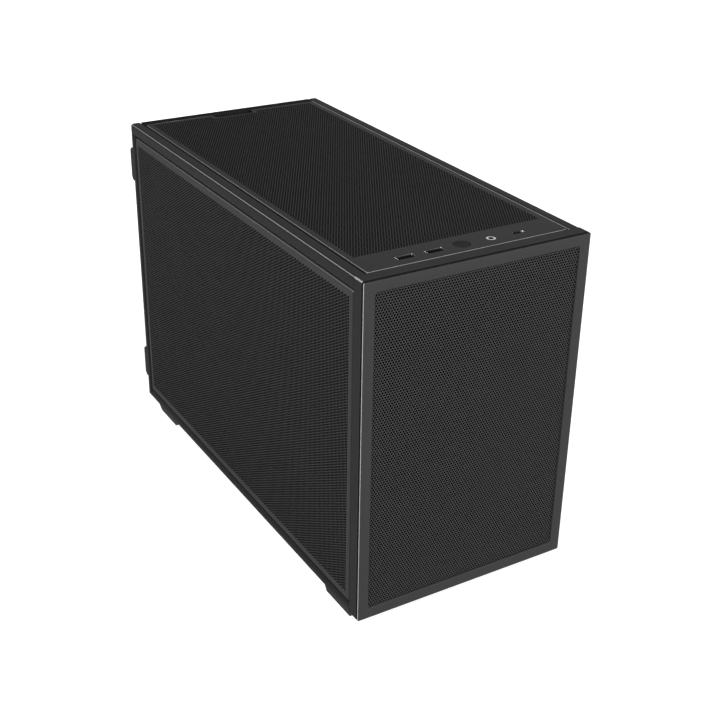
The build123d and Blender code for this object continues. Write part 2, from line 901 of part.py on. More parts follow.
with BuildPart() as base_filter:
    with BuildSketch(Plane.XY.offset(frame_floor)):
        with Locations((0, (base_filter_front + base_filter_back) / 2)):
            Rectangle(base_filter_width, base_filter_back - base_filter_front)
    extrude(amount=-base_filter_height)
    with BuildSketch(Plane.XY.offset(frame_floor - base_filter_height)):
        with Locations((0, (base_filter_front + base_filter_back) / 2)):
            with GridLocations(
                filter_cell_width + base_filter_rim,
                filter_cell_length + base_filter_rim,
                base_filter_columns,
                base_filter_rows,
            ):
                Rectangle(filter_cell_width, filter_cell_length)
    extrude(amount=base_filter_height - base_filter_skin, mode=Mode.SUBTRACT)
finish(base_filter, "base_filter")


# Feet: long blocks with sloped ends, a pad in the underside of each
def foot(start, length, slope, side):
    """One foot: a block with sloped ends, a recess for its pad and a bore for its screw."""
    middle_x = side * foot_middle_x
    middle_y = front + start + length / 2
    with BuildPart() as block:
        with BuildSketch(Plane.YZ.offset(middle_x - foot_width / 2)):
            with BuildLine():
                Polyline(
                    (middle_y - length / 2, floor),
                    (middle_y + length / 2, floor),
                    (middle_y + length / 2 - slope, pad_proud),
                    (middle_y - length / 2 + slope, pad_proud),
                    close=True,
                )
            make_face()
        extrude(amount=foot_width)
        with BuildSketch(Plane.XY.offset(pad_height)):
            with Locations((middle_x, middle_y)):
                Rectangle(
                    foot_width - 2 * pad_margin,
                    length - 2 * slope - 2 * pad_margin,
                )
        extrude(amount=-pad_height, mode=Mode.SUBTRACT)
        with BuildSketch(Plane.XY.offset(pad_height)):
            with Locations((middle_x, middle_y)):
                RegularPolygon(screw_head_radius + screw_play, 6)
        extrude(amount=screw_head_height + screw_play, mode=Mode.SUBTRACT)
        with BuildSketch(Plane.XY.offset(pad_height)):
            with Locations((middle_x, middle_y)):
                RegularPolygon(screw_radius + screw_play, 6)
        extrude(amount=floor, mode=Mode.SUBTRACT)
    return block


with BuildPart() as foot_pads:
    for start, length, slope in foot_kinds:
        with Locations(
            (-foot_middle_x, front + start + length / 2, 0),
            (foot_middle_x, front + start + length / 2, 0),
        ):
            Box(
                foot_width - 2 * pad_margin - 2 * fit_gap,
                length - 2 * slope - 2 * pad_margin - 2 * fit_gap,
                pad_height,
                align=(Align.CENTER, Align.CENTER, Align.MIN),
            )

for place, (start, length, slope) in zip(("front", "rear"), foot_kinds):
    for side_name, side in (("left", -1), ("right", 1)):
        finish(foot(start, length, slope, side), f"foot_{place}_{side_name}")
finish(foot_pads, "foot_pads")

foot_screw_seat = pad_height + screw_head_height
foot_screws = screws(
    [
        Plane((x, y, foot_screw_seat), x_dir=(1, 0, 0), z_dir=(0, 0, -1))
        for x, y in (*left_foot_screws, *right_foot_screws)
    ],
    base_top - foot_screw_seat,
)
finish(foot_screws, "foot_screws")


# Main board tray: a wall beside the board with folds at the bottom and the back
tray_front = wall_front - tray_length
board_low = board_low_hole - board_hole_top
standoff_places = [
    (board_back - board_hole_io, board_high - board_hole_top),
    (board_back - board_hole_front, board_high - board_hole_top),
    (board_back - board_hole_rear, board_low_hole),
    (board_back - board_hole_front, board_low_hole),
]

with BuildPart() as main_board_tray:
    with BuildSketch(Plane.YZ.offset(tray_x)):
        with Locations((wall_front, base_top)):
            Rectangle(tray_length, tray_high - base_top, align=(Align.MAX, Align.MIN))
        with Locations((board_back - board_hole_front / 2, (board_high + board_low) / 2)):
            Rectangle(board_cutout_width, board_cutout_height, mode=Mode.SUBTRACT)
        with Locations(
            (tray_front + cable_slot_width, board_high - cable_slot_inset - cable_slot_height / 2),
            (tray_front + cable_slot_width, board_low + cable_slot_inset + cable_slot_height / 2),
        ):
            Rectangle(cable_slot_width, cable_slot_height, mode=Mode.SUBTRACT)
    extrude(amount=frame_sheet)
    with BuildSketch(Plane.XY.offset(base_top)):
        with Locations((tray_x, wall_front)):
            Rectangle(tray_fold, tray_length, align=(Align.MIN, Align.MAX))
    extrude(amount=frame_sheet)
    with BuildSketch(facing_front(wall_front)):
        with Locations((tray_x, base_top)):
            Rectangle(tray_fold, tray_high - base_top, align=(Align.MIN, Align.MIN))
    extrude(amount=frame_sheet)
finish(main_board_tray, "main_board_tray")

with BuildPart() as standoffs:
    with BuildSketch(Plane.YZ.offset(tray_x)):
        with Locations(*standoff_places):
            RegularPolygon(standoff_flats / 2, 6, major_radius=False)
            Circle(standoff_bore, mode=Mode.SUBTRACT)
    extrude(amount=-standoff_height)
finish(standoffs, "standoffs")


# Power supply bracket: a folded plate across the case, its ears on the frame flanges
supply_face = front + supply_bracket_behind_front
supply_half = flange_face - frame_sheet

with BuildPart() as supply_bracket:
    with BuildSketch(Plane.XY.offset(supply_high - supply_bracket_height)):
        add(
            folded(
                [
                    (-supply_half, front + supply_ear_start),
                    (-supply_half, supply_face),
                    (supply_half, supply_face),
                    (supply_half, front + supply_ear_start),
                ],
                frame_sheet,
                Side.RIGHT,
                bend=0,
            )
        )
    extrude(amount=supply_bracket_height)
    with BuildSketch(facing_front(supply_face - frame_sheet)):
        with Locations((0, supply_mid)):
            Rectangle(supply_opening_x, supply_opening_z)
            with GridLocations(supply_spacing_x, supply_spacing_z, 2, 2):
                Circle(supply_hole_radius)
    extrude(amount=-frame_sheet, mode=Mode.SUBTRACT)
finish(supply_bracket, "supply_bracket")

# Side panel: a perforated face with folded edges and an ear in each corner
side_length = side_back - side_front
side_rise = side_high - side_low
side_mid = (side_front + side_back) / 2, (side_low + side_high) / 2

with BuildPart() as left_panel:
    with BuildSketch(Plane.YZ.offset(-half_width)):
        with Locations(side_mid):
            Rectangle(side_length, side_rise)
    extrude(amount=panel_return)
    offset(amount=-panel_sheet, openings=left_panel.faces().sort_by(Axis.X)[-1])
    chamfer(
        left_panel.faces().sort_by(Axis.X)[0].outer_wire().edges(),
        length=panel_edge_bevel,
    )
    with BuildSketch(Plane.YZ.offset(-half_width)):
        with Locations(side_mid):
            add(
                diamond_field(
                    side_length - 2 * panel_margin,
                    side_rise - 2 * panel_margin,
                    side_hole_pitch,
                )
            )
    extrude(amount=panel_sheet, mode=Mode.SUBTRACT)
    with BuildSketch(Plane.YZ.offset(-ear_x)):
        with Locations(side_mid):
            with GridLocations(
                side_length - ear_length - panel_sheet, side_rise - ear_height - panel_sheet, 2, 2
            ):
                Rectangle(ear_length, ear_height)
    extrude(amount=-panel_sheet)
finish(left_panel, "left_panel")

with BuildPart() as right_panel:
    mirror(left_panel.part, about=Plane.YZ)
finish(right_panel, "right_panel")

left_panel_hooks = snap_hooks(left_hook_seats, ear_gap)
finish(left_panel_hooks, "left_panel_hooks")
with BuildPart() as right_panel_hooks:
    mirror(left_panel_hooks.part, about=Plane.YZ)
finish(right_panel_hooks, "right_panel_hooks")

left_panel_catches = snap_catches(left_hook_seats, ear_gap)
finish(left_panel_catches, "left_panel_catches")
with BuildPart() as right_panel_catches:
    mirror(left_panel_catches.part, about=Plane.YZ)
finish(right_panel_catches, "right_panel_catches")

with BuildPart() as left_filter:
    with BuildSketch(Plane.YZ.offset(-half_width + panel_sheet)):
        with Locations(side_mid):
            Rectangle(
                side_length - 2 * panel_sheet - 2 * filter_gap,
                side_rise - 2 * panel_sheet - 2 * filter_gap,
            )
    extrude(amount=filter_sheet)
finish(left_filter, "left_filter")
with BuildPart() as right_filter:
    mirror(left_filter.part, about=Plane.YZ)
finish(right_filter, "right_filter")


# Top panel: as the side panel, with a plain strip for the connectors and a finger notch
top_length = top_back - top_front
top_mid_y = (top_front + top_back) / 2
field_length = field_back - field_front

with BuildPart() as top_panel:
    with BuildSketch(Plane.XY.offset(roof)):
        with Locations((0, top_mid_y)):
            Rectangle(2 * top_half, top_length)
    extrude(amount=-panel_return)
    offset(amount=-panel_sheet, openings=top_panel.faces().sort_by(Axis.Z)[0])
    chamfer(
        top_panel.faces().sort_by(Axis.Z)[-1].outer_wire().edges(),
        length=panel_edge_bevel,
    )
    with BuildSketch(Plane.XY.offset(roof)):
        with Locations((0, (field_front + field_back) / 2)):
            add(diamond_field(2 * (top_half - panel_margin), field_length, top_hole_pitch))
        with Locations((0, top_back)):
            Rectangle(
                notch_width + 2 * panel_margin,
                2 * notch_depth + 2 * panel_margin,
                mode=Mode.SUBTRACT,
            )
        with Locations((0, top_back)):
            RectangleRounded(notch_width, 2 * notch_depth, notch_corner)
        with Locations((usb_a_far, port_row), (usb_a_near, port_row)):
            Rectangle(usb_a_length + 2 * port_play, usb_a_width + 2 * port_play)
        with Locations((0, port_row)):
            Circle(button_radius + button_play)
        with Locations((jack_place, port_row)):
            Circle(jack_ring_radius + port_play)
        with Locations((usb_c_place, port_row)):
            SlotOverall(usb_c_length + 2 * port_play, usb_c_width + 2 * port_play)
    extrude(amount=-panel_sheet, mode=Mode.SUBTRACT)
    with BuildSketch(Plane.XY.offset(roof)):
        with Locations((0, top_back)):
            Rectangle(notch_width, 2 * panel_return)
    extrude(amount=-panel_return, mode=Mode.SUBTRACT)
    with BuildSketch(Plane.XY.offset(roof - panel_return)):
        with Locations((0, top_mid_y)):
            with GridLocations(
                2 * top_half - ear_height - panel_sheet, top_length - ear_length - panel_sheet, 2, 2
            ):
                Rectangle(ear_height, ear_length)
    extrude(amount=panel_sheet)
finish(top_panel, "top_panel")

top_panel_hooks = snap_hooks(top_hook_seats, ear_gap)
finish(top_panel_hooks, "top_panel_hooks")

top_panel_catches = snap_catches(top_hook_seats, ear_gap)
finish(top_panel_catches, "top_panel_catches")

with BuildPart() as top_filter:
    with BuildSketch(Plane.XY.offset(roof - panel_sheet)):
        with Locations((0, field_front - panel_margin)):
            Rectangle(
                2 * (top_half - panel_sheet - filter_gap),
                top_back - panel_sheet - filter_gap - field_front + panel_margin,
                align=(Align.CENTER, Align.MIN),
            )
        with Locations((0, top_back)):
            Rectangle(
                notch_width + panel_margin, 2 * notch_depth + panel_margin, mode=Mode.SUBTRACT
            )
    extrude(amount=-filter_sheet)
finish(top_filter, "top_filter")


# Connector board on its folded bracket, below the plain strip of the top panel
board_top = roof - io_board_drop
shelf = board_top - board_sheet

with BuildPart() as io_bracket:
    with BuildSketch(facing_front(front + io_bracket_behind_front)):
        add(
            folded(
                [
                    (-bracket_ear, tab_under),
                    (-bracket_half, tab_under),
                    (-bracket_half, shelf),
                    (bracket_half, shelf),
                    (bracket_half, tab_under),
                    (bracket_ear, tab_under),
                ],
                frame_sheet,
                Side.RIGHT,
                bend=0,
            )
        )
    extrude(amount=-io_bracket_depth)
finish(io_bracket, "io_bracket")

with BuildPart() as io_board:
    with BuildSketch(Plane.XY.offset(shelf)):
        with Locations((0, port_row)):
            Rectangle(2 * io_board_half, io_board_width)
    extrude(amount=board_sheet)
finish(io_board, "io_board")

port_top = roof - port_sink


def usb_a_shell(x):
    """Folded metal shell of an upright USB-A socket, open at the top."""
    with BuildPart() as shell:
        with BuildSketch(Plane.XY.offset(board_top)):
            with Locations((x, port_row)):
                Rectangle(usb_a_length, usb_a_width)
        extrude(amount=port_top - board_top)
        with BuildSketch(Plane.XY.offset(port_top)):
            with Locations((x, port_row)):
                Rectangle(usb_a_length - 2 * usb_a_wall, usb_a_width - 2 * usb_a_wall)
        extrude(amount=-usb_a_depth, mode=Mode.SUBTRACT)
    return shell


finish(usb_a_shell(usb_a_far), "usb_a_shell_outer")
finish(usb_a_shell(usb_a_near), "usb_a_shell_inner")

with BuildPart() as usb_a_tongues:
    with BuildSketch(Plane.XY.offset(port_top - usb_a_depth)):
        for x in (usb_a_far, usb_a_near):
            with Locations((x, port_row + usb_a_tongue_shift)):
                Rectangle(usb_a_tongue_length, usb_a_tongue)
    extrude(amount=usb_a_depth - tongue_sink)
finish(usb_a_tongues, "usb_a_tongues")

with BuildPart() as usb_c_shell:
    with BuildSketch(Plane.XY.offset(board_top)):
        with Locations((usb_c_place, port_row)):
            SlotOverall(usb_c_length, usb_c_width)
    extrude(amount=port_top - board_top)
    with BuildSketch(Plane.XY.offset(port_top)):
        with Locations((usb_c_place, port_row)):
            SlotOverall(usb_c_length - 2 * usb_c_wall, usb_c_width - 2 * usb_c_wall)
    extrude(amount=-usb_c_depth, mode=Mode.SUBTRACT)
finish(usb_c_shell, "usb_c_shell")

with BuildPart() as usb_c_tongue:
    with BuildSketch(Plane.XY.offset(port_top - usb_c_depth)):
        with Locations((usb_c_place, port_row)):
            Rectangle(usb_c_tongue_length, usb_c_tongue_sheet)
    extrude(amount=usb_c_depth - tongue_sink)
finish(usb_c_tongue, "usb_c_tongue")

with BuildPart() as jack_body:
    with BuildSketch(Plane.XY.offset(board_top)):
        with Locations((jack_place, port_row)):
            Rectangle(jack_body_width, jack_body_length)
    extrude(amount=port_top - jack_ring_height - board_top)
    with BuildSketch(Plane.XY.offset(port_top)):
        with Locations((jack_place, port_row)):
            Circle(jack_bore_radius)
    extrude(amount=-jack_bore_depth, mode=Mode.SUBTRACT)
finish(jack_body, "jack_body")

with BuildPart() as jack_ring:
    with BuildSketch(Plane.XY.offset(port_top)):
        with Locations((jack_place, port_row)):
            Circle(jack_ring_radius)
            Circle(jack_bore_radius, mode=Mode.SUBTRACT)
    extrude(amount=-jack_ring_height)
finish(jack_ring, "jack_ring")

# Power button: a cap whose square flange keeps it in its guide and from turning
flange_width = 2 * (button_radius + button_flange)
guide_inner = flange_width + 2 * guide_play
guide_high = roof - panel_sheet - guide_top_gap
flange_top = guide_high - guide_wall - fit_gap
plunger_top = board_top + switch_height + plunger_reach

with BuildPart() as button_guide:
    with BuildSketch(Plane.XY.offset(board_top)):
        with Locations((0, port_row)):
            Rectangle(guide_inner + 2 * guide_wall, guide_inner + 2 * guide_wall)
    extrude(amount=guide_high - board_top)
    with BuildSketch(Plane.XY.offset(board_top)):
        with Locations((0, port_row)):
            Rectangle(guide_inner, guide_inner)
    extrude(amount=guide_high - guide_wall - board_top, mode=Mode.SUBTRACT)
    with BuildSketch(Plane.XY.offset(guide_high)):
        with Locations((0, port_row)):
            Circle(button_radius + guide_play)
    extrude(amount=-guide_wall, mode=Mode.SUBTRACT)
finish(button_guide, "button_guide")

with BuildPart() as power_button:
    with BuildSketch(Plane.XY.offset(port_top)):
        with Locations((0, port_row)):
            Circle(button_radius)
    extrude(amount=flange_top - port_top)
    with BuildSketch(Plane.XY.offset(flange_top)):
        with Locations((0, port_row)):
            Rectangle(flange_width, flange_width)
    extrude(amount=-button_flange_height)
    with BuildSketch(Plane.XY.offset(plunger_top)):
        with Locations((0, port_row)):
            Rectangle(button_stem_width, button_stem_width)
    extrude(amount=flange_top - plunger_top)
finish(power_button, "power_button")

with BuildPart() as push_switch:
    with BuildSketch(Plane.XY.offset(board_top)):
        with Locations((0, port_row)):
            Rectangle(switch_side, switch_side)
    extrude(amount=switch_height)
    with BuildSketch(Plane.XY.offset(board_top + switch_height)):
        with Locations((0, port_row)):
            Rectangle(plunger_width + 2 * plunger_play, plunger_width + 2 * plunger_play)
    extrude(amount=-(plunger_sunk + button_travel + plunger_play), mode=Mode.SUBTRACT)
finish(push_switch, "push_switch")

with BuildPart() as switch_plunger:
    with BuildSketch(Plane.XY.offset(plunger_top)):
        with Locations((0, port_row)):
            Rectangle(plunger_width, plunger_width)
    extrude(amount=-(plunger_reach + plunger_sunk))
finish(switch_plunger, "switch_plunger")
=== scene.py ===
"""Looks of a mini tower pc case: perforated powder-coated steel panels on a folded frame."""

import logging
import math
from collections.abc import Callable
from dataclasses import dataclass, field
from enum import Enum

import bmesh
import bpy
import numpy as np
from mathutils import Matrix, Vector
from mathutils.geometry import delaunay_2d_cdt


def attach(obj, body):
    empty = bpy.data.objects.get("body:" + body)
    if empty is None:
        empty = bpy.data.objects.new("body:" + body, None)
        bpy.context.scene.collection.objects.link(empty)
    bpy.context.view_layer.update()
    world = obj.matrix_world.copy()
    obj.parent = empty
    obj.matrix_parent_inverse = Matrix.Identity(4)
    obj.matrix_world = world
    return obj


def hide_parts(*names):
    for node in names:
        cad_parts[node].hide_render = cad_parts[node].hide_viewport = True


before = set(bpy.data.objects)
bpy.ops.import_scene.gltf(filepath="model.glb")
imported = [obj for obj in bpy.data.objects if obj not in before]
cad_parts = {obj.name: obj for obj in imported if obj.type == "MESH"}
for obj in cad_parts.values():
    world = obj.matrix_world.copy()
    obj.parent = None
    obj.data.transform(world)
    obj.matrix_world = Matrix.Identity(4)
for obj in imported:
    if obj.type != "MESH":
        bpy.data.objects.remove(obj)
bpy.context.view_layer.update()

MM = 0.001
QUARTER_TURN = math.pi / 2
WHITE = (1.0, 1.0, 1.0, 1.0)
HEXAGON = 6
# Bends up to this angle are shaded smooth, and a face whose normal is this close to an axis
# counts as flat sheet.
SMOOTH_ANGLE = math.radians(35)
LEVEL = 0.9995
# Points of a mesh that are this near to each other, in metres, are one.
WELD = 2e-6
# A round hole is a rectangle with corners this much smaller than its half width, in
# millimetres, so that no two points of its outline fall together.
ROUND_SLACK = 1e-4
# The row of sockets on the top panel, and the places along it, in millimetres.
SOCKET_ROW = -158.75
USB_A_OUTER_X = -41.0
USB_A_INNER_X = -20.0
BUTTON_X = 0.0
JACK_X = 22.0
USB_C_X = 43.0
log = logging.getLogger("mini_tower")

Loop = np.ndarray
Pair = tuple[float, float]
Place = tuple[float, float, float]
Blocker = Callable[[np.ndarray], np.ndarray]
Tree = bpy.types.NodeTree
Socket = bpy.types.NodeSocket


class Side(Enum):
    """The two sides of the case as seen from the front."""

    LEFT = -1
    RIGHT = 1


class Grain(Enum):
    """What the fine surface of a material looks like up close."""

    SPECKLE = "speckle"
    WEAVE = "weave"
    BRUSHED = "brushed"


class Facing(Enum):
    """The axis that an edge of a sheet faces, in the words of the shader's sockets."""

    SIDEWAYS = "X"
    FORWARD = "Y"
    UPWARD = "Z"


# How much of a material's mottling comes from its broad clouds, and the part of the blend
# over which its gloss changes.
CLOUD_SHARE = 0.35
BLEND_RANGE = (0.3, 0.7)
# Brushed lines run across X: the pattern is drawn out along the other two axes.
BRUSHED_STRETCH = (1.0, 0.06, 0.06)
# An edge tone comes in over this much of the normal and of the way to its limit, and the
# fine pattern thins it down to the least share.
TONE_FACING = (0.1, 0.5)
TONE_BLUR_MM = 0.5
TONE_BREAK = (0.3, 0.6)
TONE_LEAST = 0.6


@dataclass(frozen=True)
class EdgeTone:
    """A painted tone that the edges facing one way have instead of the sheet's own colour: a
    painted highlight on rolled edges, or painted shade on faces in seams, recesses and holes.

    It lies further than `beyond_mm` from the part's zero that way. Only faces whose widest
    normal part is below `begin` take it, and all below `full` take it wholly: a rolled edge
    is the only place set aslant, and 1.01 lets level faces in too.
    """

    facing: Facing
    beyond_mm: float
    begin: float
    full: float
    colour: str
    roughness: float


def srgb(code: str) -> tuple[float, float, float, float]:
    """Turn an sRGB hex colour into linear light.

    Args:
        code: six hex digits.

    Returns:
        Linear red, green and blue, and an alpha of 1.
    """
    channels = [int(code[at : at + 2], 16) / 255 for at in (0, 2, 4)]
    red, green, blue = (
        c / 12.92 if c <= 0.04045 else ((c + 0.055) / 1.055) ** 2.4 for c in channels
    )
    return red, green, blue, 1.0


def add_node(
    tree: Tree,
    kind: str,
    settings: dict[str, object] | None = None,
    inputs: dict[str | int, object] | None = None,
) -> bpy.types.Node:
    """Add a shader node with its settings and links.

    Args:
        tree: the node tree it goes into.
        kind: Blender's name of the node type.
        settings: values for the node's own properties.
        inputs: for each input socket a value, or the output socket that feeds it.

    Returns:
        The new node.
    """
    made = tree.nodes.new(kind)
    for name, value in (settings or {}).items():
        setattr(made, name, value)
    for key, value in (inputs or {}).items():
        if isinstance(value, Socket):
            tree.links.new(value, made.inputs[key])
        else:
            made.inputs[key].default_value = value
    return made


def cleared_tree(made: bpy.types.Material | bpy.types.World) -> Tree:
    """Turn on the nodes of a material or a world and return its emptied tree."""
    made.use_nodes = True
    made.node_tree.nodes.clear()
    return made.node_tree


def put(name: str, data: bpy.types.ID) -> bpy.types.Object:
    """Put a new object with this data into the scene."""
    made = bpy.data.objects.new(name, data)
    bpy.context.collection.objects.link(made)
    return made


def combine(tree: Tree, operation: str, first: Socket, second: Socket | float) -> Socket:
    """Join two numbers by a mathematical operation and return the result's socket."""
    inputs = {0: first, 1: second}
    return add_node(tree, "ShaderNodeMath", {"operation": operation}, inputs).outputs[0]


def mix(tree: Tree, kind: str, share: Socket | float, first: object, second: object) -> Socket:
    """Mix two numbers or two colours and return the result's socket."""
    inputs = {"Factor": share, "A": first, "B": second}
    return add_node(tree, "ShaderNodeMix", {"data_type": kind}, inputs).outputs["Result"]


def stretch(tree: Tree, value: Socket, source: Pair, target: Pair) -> Socket:
    """Map one range of numbers onto another and return the result's socket."""
    ends = dict(zip(("From Min", "From Max", "To Min", "To Max"), (*source, *target)))
    return add_node(tree, "ShaderNodeMapRange", None, {"Value": value, **ends}).outputs["Result"]


def noise(tree: Tree, place: Socket, scale: float, detail: float) -> Socket:
    """Add a noise texture and return its value's socket."""
    inputs = {"Vector": place, "Scale": scale, "Detail": detail}
    return add_node(tree, "ShaderNodeTexNoise", None, inputs).outputs["Fac"]


def add_surface(tree: Tree, inputs: dict[str, object]) -> None:
    """Add the material's shader with these inputs, and its output."""
    shader = add_node(tree, "ShaderNodeBsdfPrincipled", None, inputs)
    add_node(tree, "ShaderNodeOutputMaterial", None, {"Surface": shader.outputs[0]})


@dataclass(frozen=True)
class Finish:
    """A surface: its colour, its gloss and its grain at a real scale."""

    name: str
    colour: str
    roughness: float
    grain_mm: float
    grain: Grain = Grain.SPECKLE
    metallic: float = 0.0
    specular: float = 0.5
    mottle: float = 0.12
    relief_mm: float = 0.01
    gloss_spread: float = 0.08
    cloud_mm: float = 45.0
    edges: tuple[EdgeTone, ...] = ()
    cache: dict[str, bpy.types.Material] = field(default_factory=dict, compare=False)

    def pattern(self, tree: Tree, coordinates: Socket) -> Socket:
        """Fine pattern of the surface.

        Args:
            tree: the material's node tree.
            coordinates: the place on the part, in metres.

        Returns:
            A socket that runs from 0 to 1 over the pattern.
        """
        scale = 1 / (self.grain_mm * MM)
        if self.grain is Grain.WEAVE:
            inputs = {"Vector": coordinates, "Scale": scale / 2}
            threads = [
                add_node(tree, "ShaderNodeTexWave", {"bands_direction": axis}, inputs).outputs["Fac"]
                for axis in ("X", "Y", "Z")
            ]
            crossed = combine(tree, "MULTIPLY", threads[0], threads[1])
            return combine(tree, "MAXIMUM", crossed, threads[2])
        if self.grain is Grain.BRUSHED:
            inputs = {"Vector": coordinates, "Scale": BRUSHED_STRETCH}
            coordinates = add_node(tree, "ShaderNodeMapping", None, inputs).outputs[0]
        return noise(tree, coordinates, scale, 3.0)

    def along_edges(
        self, tree: Tree, tone: EdgeTone, coordinates: Socket, pattern: Socket
    ) -> Socket:
        """Where an edge tone lies.

        Args:
            tree: the material's node tree.
            tone: the tone.
            coordinates: the place on the part, in metres.
            pattern: the fine pattern, which breaks the tone up.

        Returns:
            A socket that is 0 on the rest of the sheet and up to 1 along the edges.
        """
        sizes = [
            add_node(tree, "ShaderNodeVectorMath", {"operation": "ABSOLUTE"}, {0: vector}).outputs[0]
            for vector in (add_node(tree, "ShaderNodeTexCoord").outputs["Normal"], coordinates)
        ]
        normal, place = (
            add_node(tree, "ShaderNodeSeparateXYZ", None, {0: size}).outputs for size in sizes
        )
        wider = combine(tree, "MAXIMUM", normal["X"], normal["Y"])
        widest = combine(tree, "MAXIMUM", wider, normal["Z"])
        axis = tone.facing.value
        blurred = (tone.beyond_mm - TONE_BLUR_MM) * MM, tone.beyond_mm * MM
        amount = stretch(tree, widest, (tone.begin, tone.full), (0.0, 1.0))
        for value, source, least in (
            (normal[axis], TONE_FACING, 0.0),
            (place[axis], blurred, 0.0),
            (pattern, TONE_BREAK, TONE_LEAST),
        ):
            amount = combine(tree, "MULTIPLY", amount, stretch(tree, value, source, (least, 1.0)))
        return amount

    def material(self) -> bpy.types.Material:
        """The material with its nodes, built once."""
        if "made" in self.cache:
            return self.cache["made"]
        made = bpy.data.materials.new(self.name)
        tree = cleared_tree(made)
        coordinates = add_node(tree, "ShaderNodeTexCoord").outputs["Object"]
        pattern = self.pattern(tree, coordinates)
        cloud = noise(tree, coordinates, 1 / (self.cloud_mm * MM), 2.0)
        blend = mix(tree, "FLOAT", CLOUD_SHARE, pattern, cloud)
        base = srgb(self.colour)
        dark = tuple(c * (1 - self.mottle) for c in base[:3]) + (1.0,)
        light = tuple(min(c * (1 + self.mottle), 1.0) for c in base[:3]) + (1.0,)
        tint = mix(tree, "RGBA", blend, dark, light)
        glossy, dull = self.roughness - self.gloss_spread, self.roughness + self.gloss_spread
        rough = stretch(tree, blend, BLEND_RANGE, (glossy, dull))
        # Painted highlights and painted shade along the edges.
        for tone in self.edges:
            amount = self.along_edges(tree, tone, coordinates, pattern)
            tint = mix(tree, "RGBA", amount, tint, srgb(tone.colour))
            rough = mix(tree, "FLOAT", amount, rough, tone.roughness)
        relief = {"Strength": 1.0, "Distance": self.relief_mm * MM, "Height": pattern}
        inputs = {
            "Base Color": tint,
            "Roughness": rough,
            "Metallic": self.metallic,
            "Specular IOR Level": self.specular,
            "Normal": add_node(tree, "ShaderNodeBump", None, relief).outputs["Normal"],
        }
        add_surface(tree, inputs)
        self.cache["made"] = made
        return made


def powder_coat(
    part: str, colour: str, edges: tuple[EdgeTone, ...], roughness: float = 0.5
) -> Finish:
    """Steel sheet with a black polyester powder coat: matt, with a fine pebbled skin.

    The real pebbles are 0.2 mm; they are drawn at 0.7 mm so that they show at all.

    Args:
        part: what it covers, for the material's name.
        colour: the coat's sRGB hex colour.
        edges: the tones along the sheet's edges.
        roughness: how dull the coat is.

    Returns:
        The finish.
    """
    name = f"powder_coated_steel_{part}"
    return Finish(name, colour, roughness, 0.7, specular=0.1, relief_mm=0.012, edges=edges)


# Tones along the edges of the folded sheets. The lighter, smoother lines on rolled edges are
# painted highlights where lamps would catch them; the dark tones are painted shade in seams,
# in the finger notch and in punched holes.
# Painted highlights: light, smooth lines along rolled edges.
PAINTED_HIGHLIGHT_CORNER = EdgeTone(Facing.SIDEWAYS, 81.0, 0.985, 0.88, "cacacc", 0.3)
PAINTED_HIGHLIGHT_RIM = EdgeTone(Facing.UPWARD, 225.0, 0.8, 0.73, "b0b0b2", 0.3)
PAINTED_HIGHLIGHT_PANEL_TOP = EdgeTone(Facing.UPWARD, 225.0, 0.86, 0.76, "8c8c8e", 0.3)
PAINTED_HIGHLIGHT_ROOF_EDGE = EdgeTone(Facing.UPWARD, 225.0, 0.86, 0.76, "a0a0a2", 0.3)
# Painted shade: the chassis's front face in the seam behind the front frame, the rear wall's upper
# folds seen through the finger notch, and the front frame's sides and top in their seams.
PAINTED_SHADE_CHASSIS_FRONT = EdgeTone(Facing.FORWARD, 179.0, 1.01, 1.0, "0c0c0d", 0.8)
PAINTED_SHADE_REAR_FOLD = EdgeTone(Facing.UPWARD, 225.0, 1.01, 1.0, "0c0c0d", 0.8)
PAINTED_SHADE_FRONT_SIDES = EdgeTone(Facing.SIDEWAYS, 81.0, 1.01, 1.0, "161617", 0.8)
PAINTED_SHADE_FRONT_TOP = EdgeTone(Facing.UPWARD, 240.0, 1.01, 1.0, "070707", 0.8)
# Painted shade on the walls of the punched holes.
PAINTED_SHADE_HOLE_WALLS = tuple(
    EdgeTone(facing, 0.0, 1.01, 1.0, "0a0a0a", 0.8) for facing in (Facing.SIDEWAYS, Facing.UPWARD)
)
FRAME_COAT = powder_coat("frame", "29292a", (PAINTED_HIGHLIGHT_RIM,))
CHASSIS_COAT = powder_coat("chassis", "29292a", (PAINTED_HIGHLIGHT_RIM, PAINTED_SHADE_CHASSIS_FRONT))
REAR_COAT = powder_coat("rear", "1f1f20", (PAINTED_SHADE_REAR_FOLD,))
FRONT_COAT = powder_coat("front", "383839", (PAINTED_SHADE_FRONT_SIDES, PAINTED_HIGHLIGHT_CORNER, PAINTED_SHADE_FRONT_TOP), 0.48)
# The front sheet's coat is lighter than the front frame's: a painted highlight for the light caught
# on the rims of its holes.
MESH_COAT = powder_coat("mesh", "414142", PAINTED_SHADE_HOLE_WALLS, 0.48)
SIDE_COAT = powder_coat("side_panel", "3f3f40", (PAINTED_HIGHLIGHT_PANEL_TOP,))
ROOF_COAT = powder_coat("top_panel", "303031", (PAINTED_HIGHLIGHT_ROOF_EDGE,))
# Woven nylon dust cloth: black, no shine, threads about 0.4 mm apart, drawn at 0.8 mm.
FILTER_CLOTH = Finish(
    "woven_nylon_filter", "050505", 0.95, 0.8, Grain.WEAVE, specular=0.0, mottle=0.5, relief_mm=0.05
)
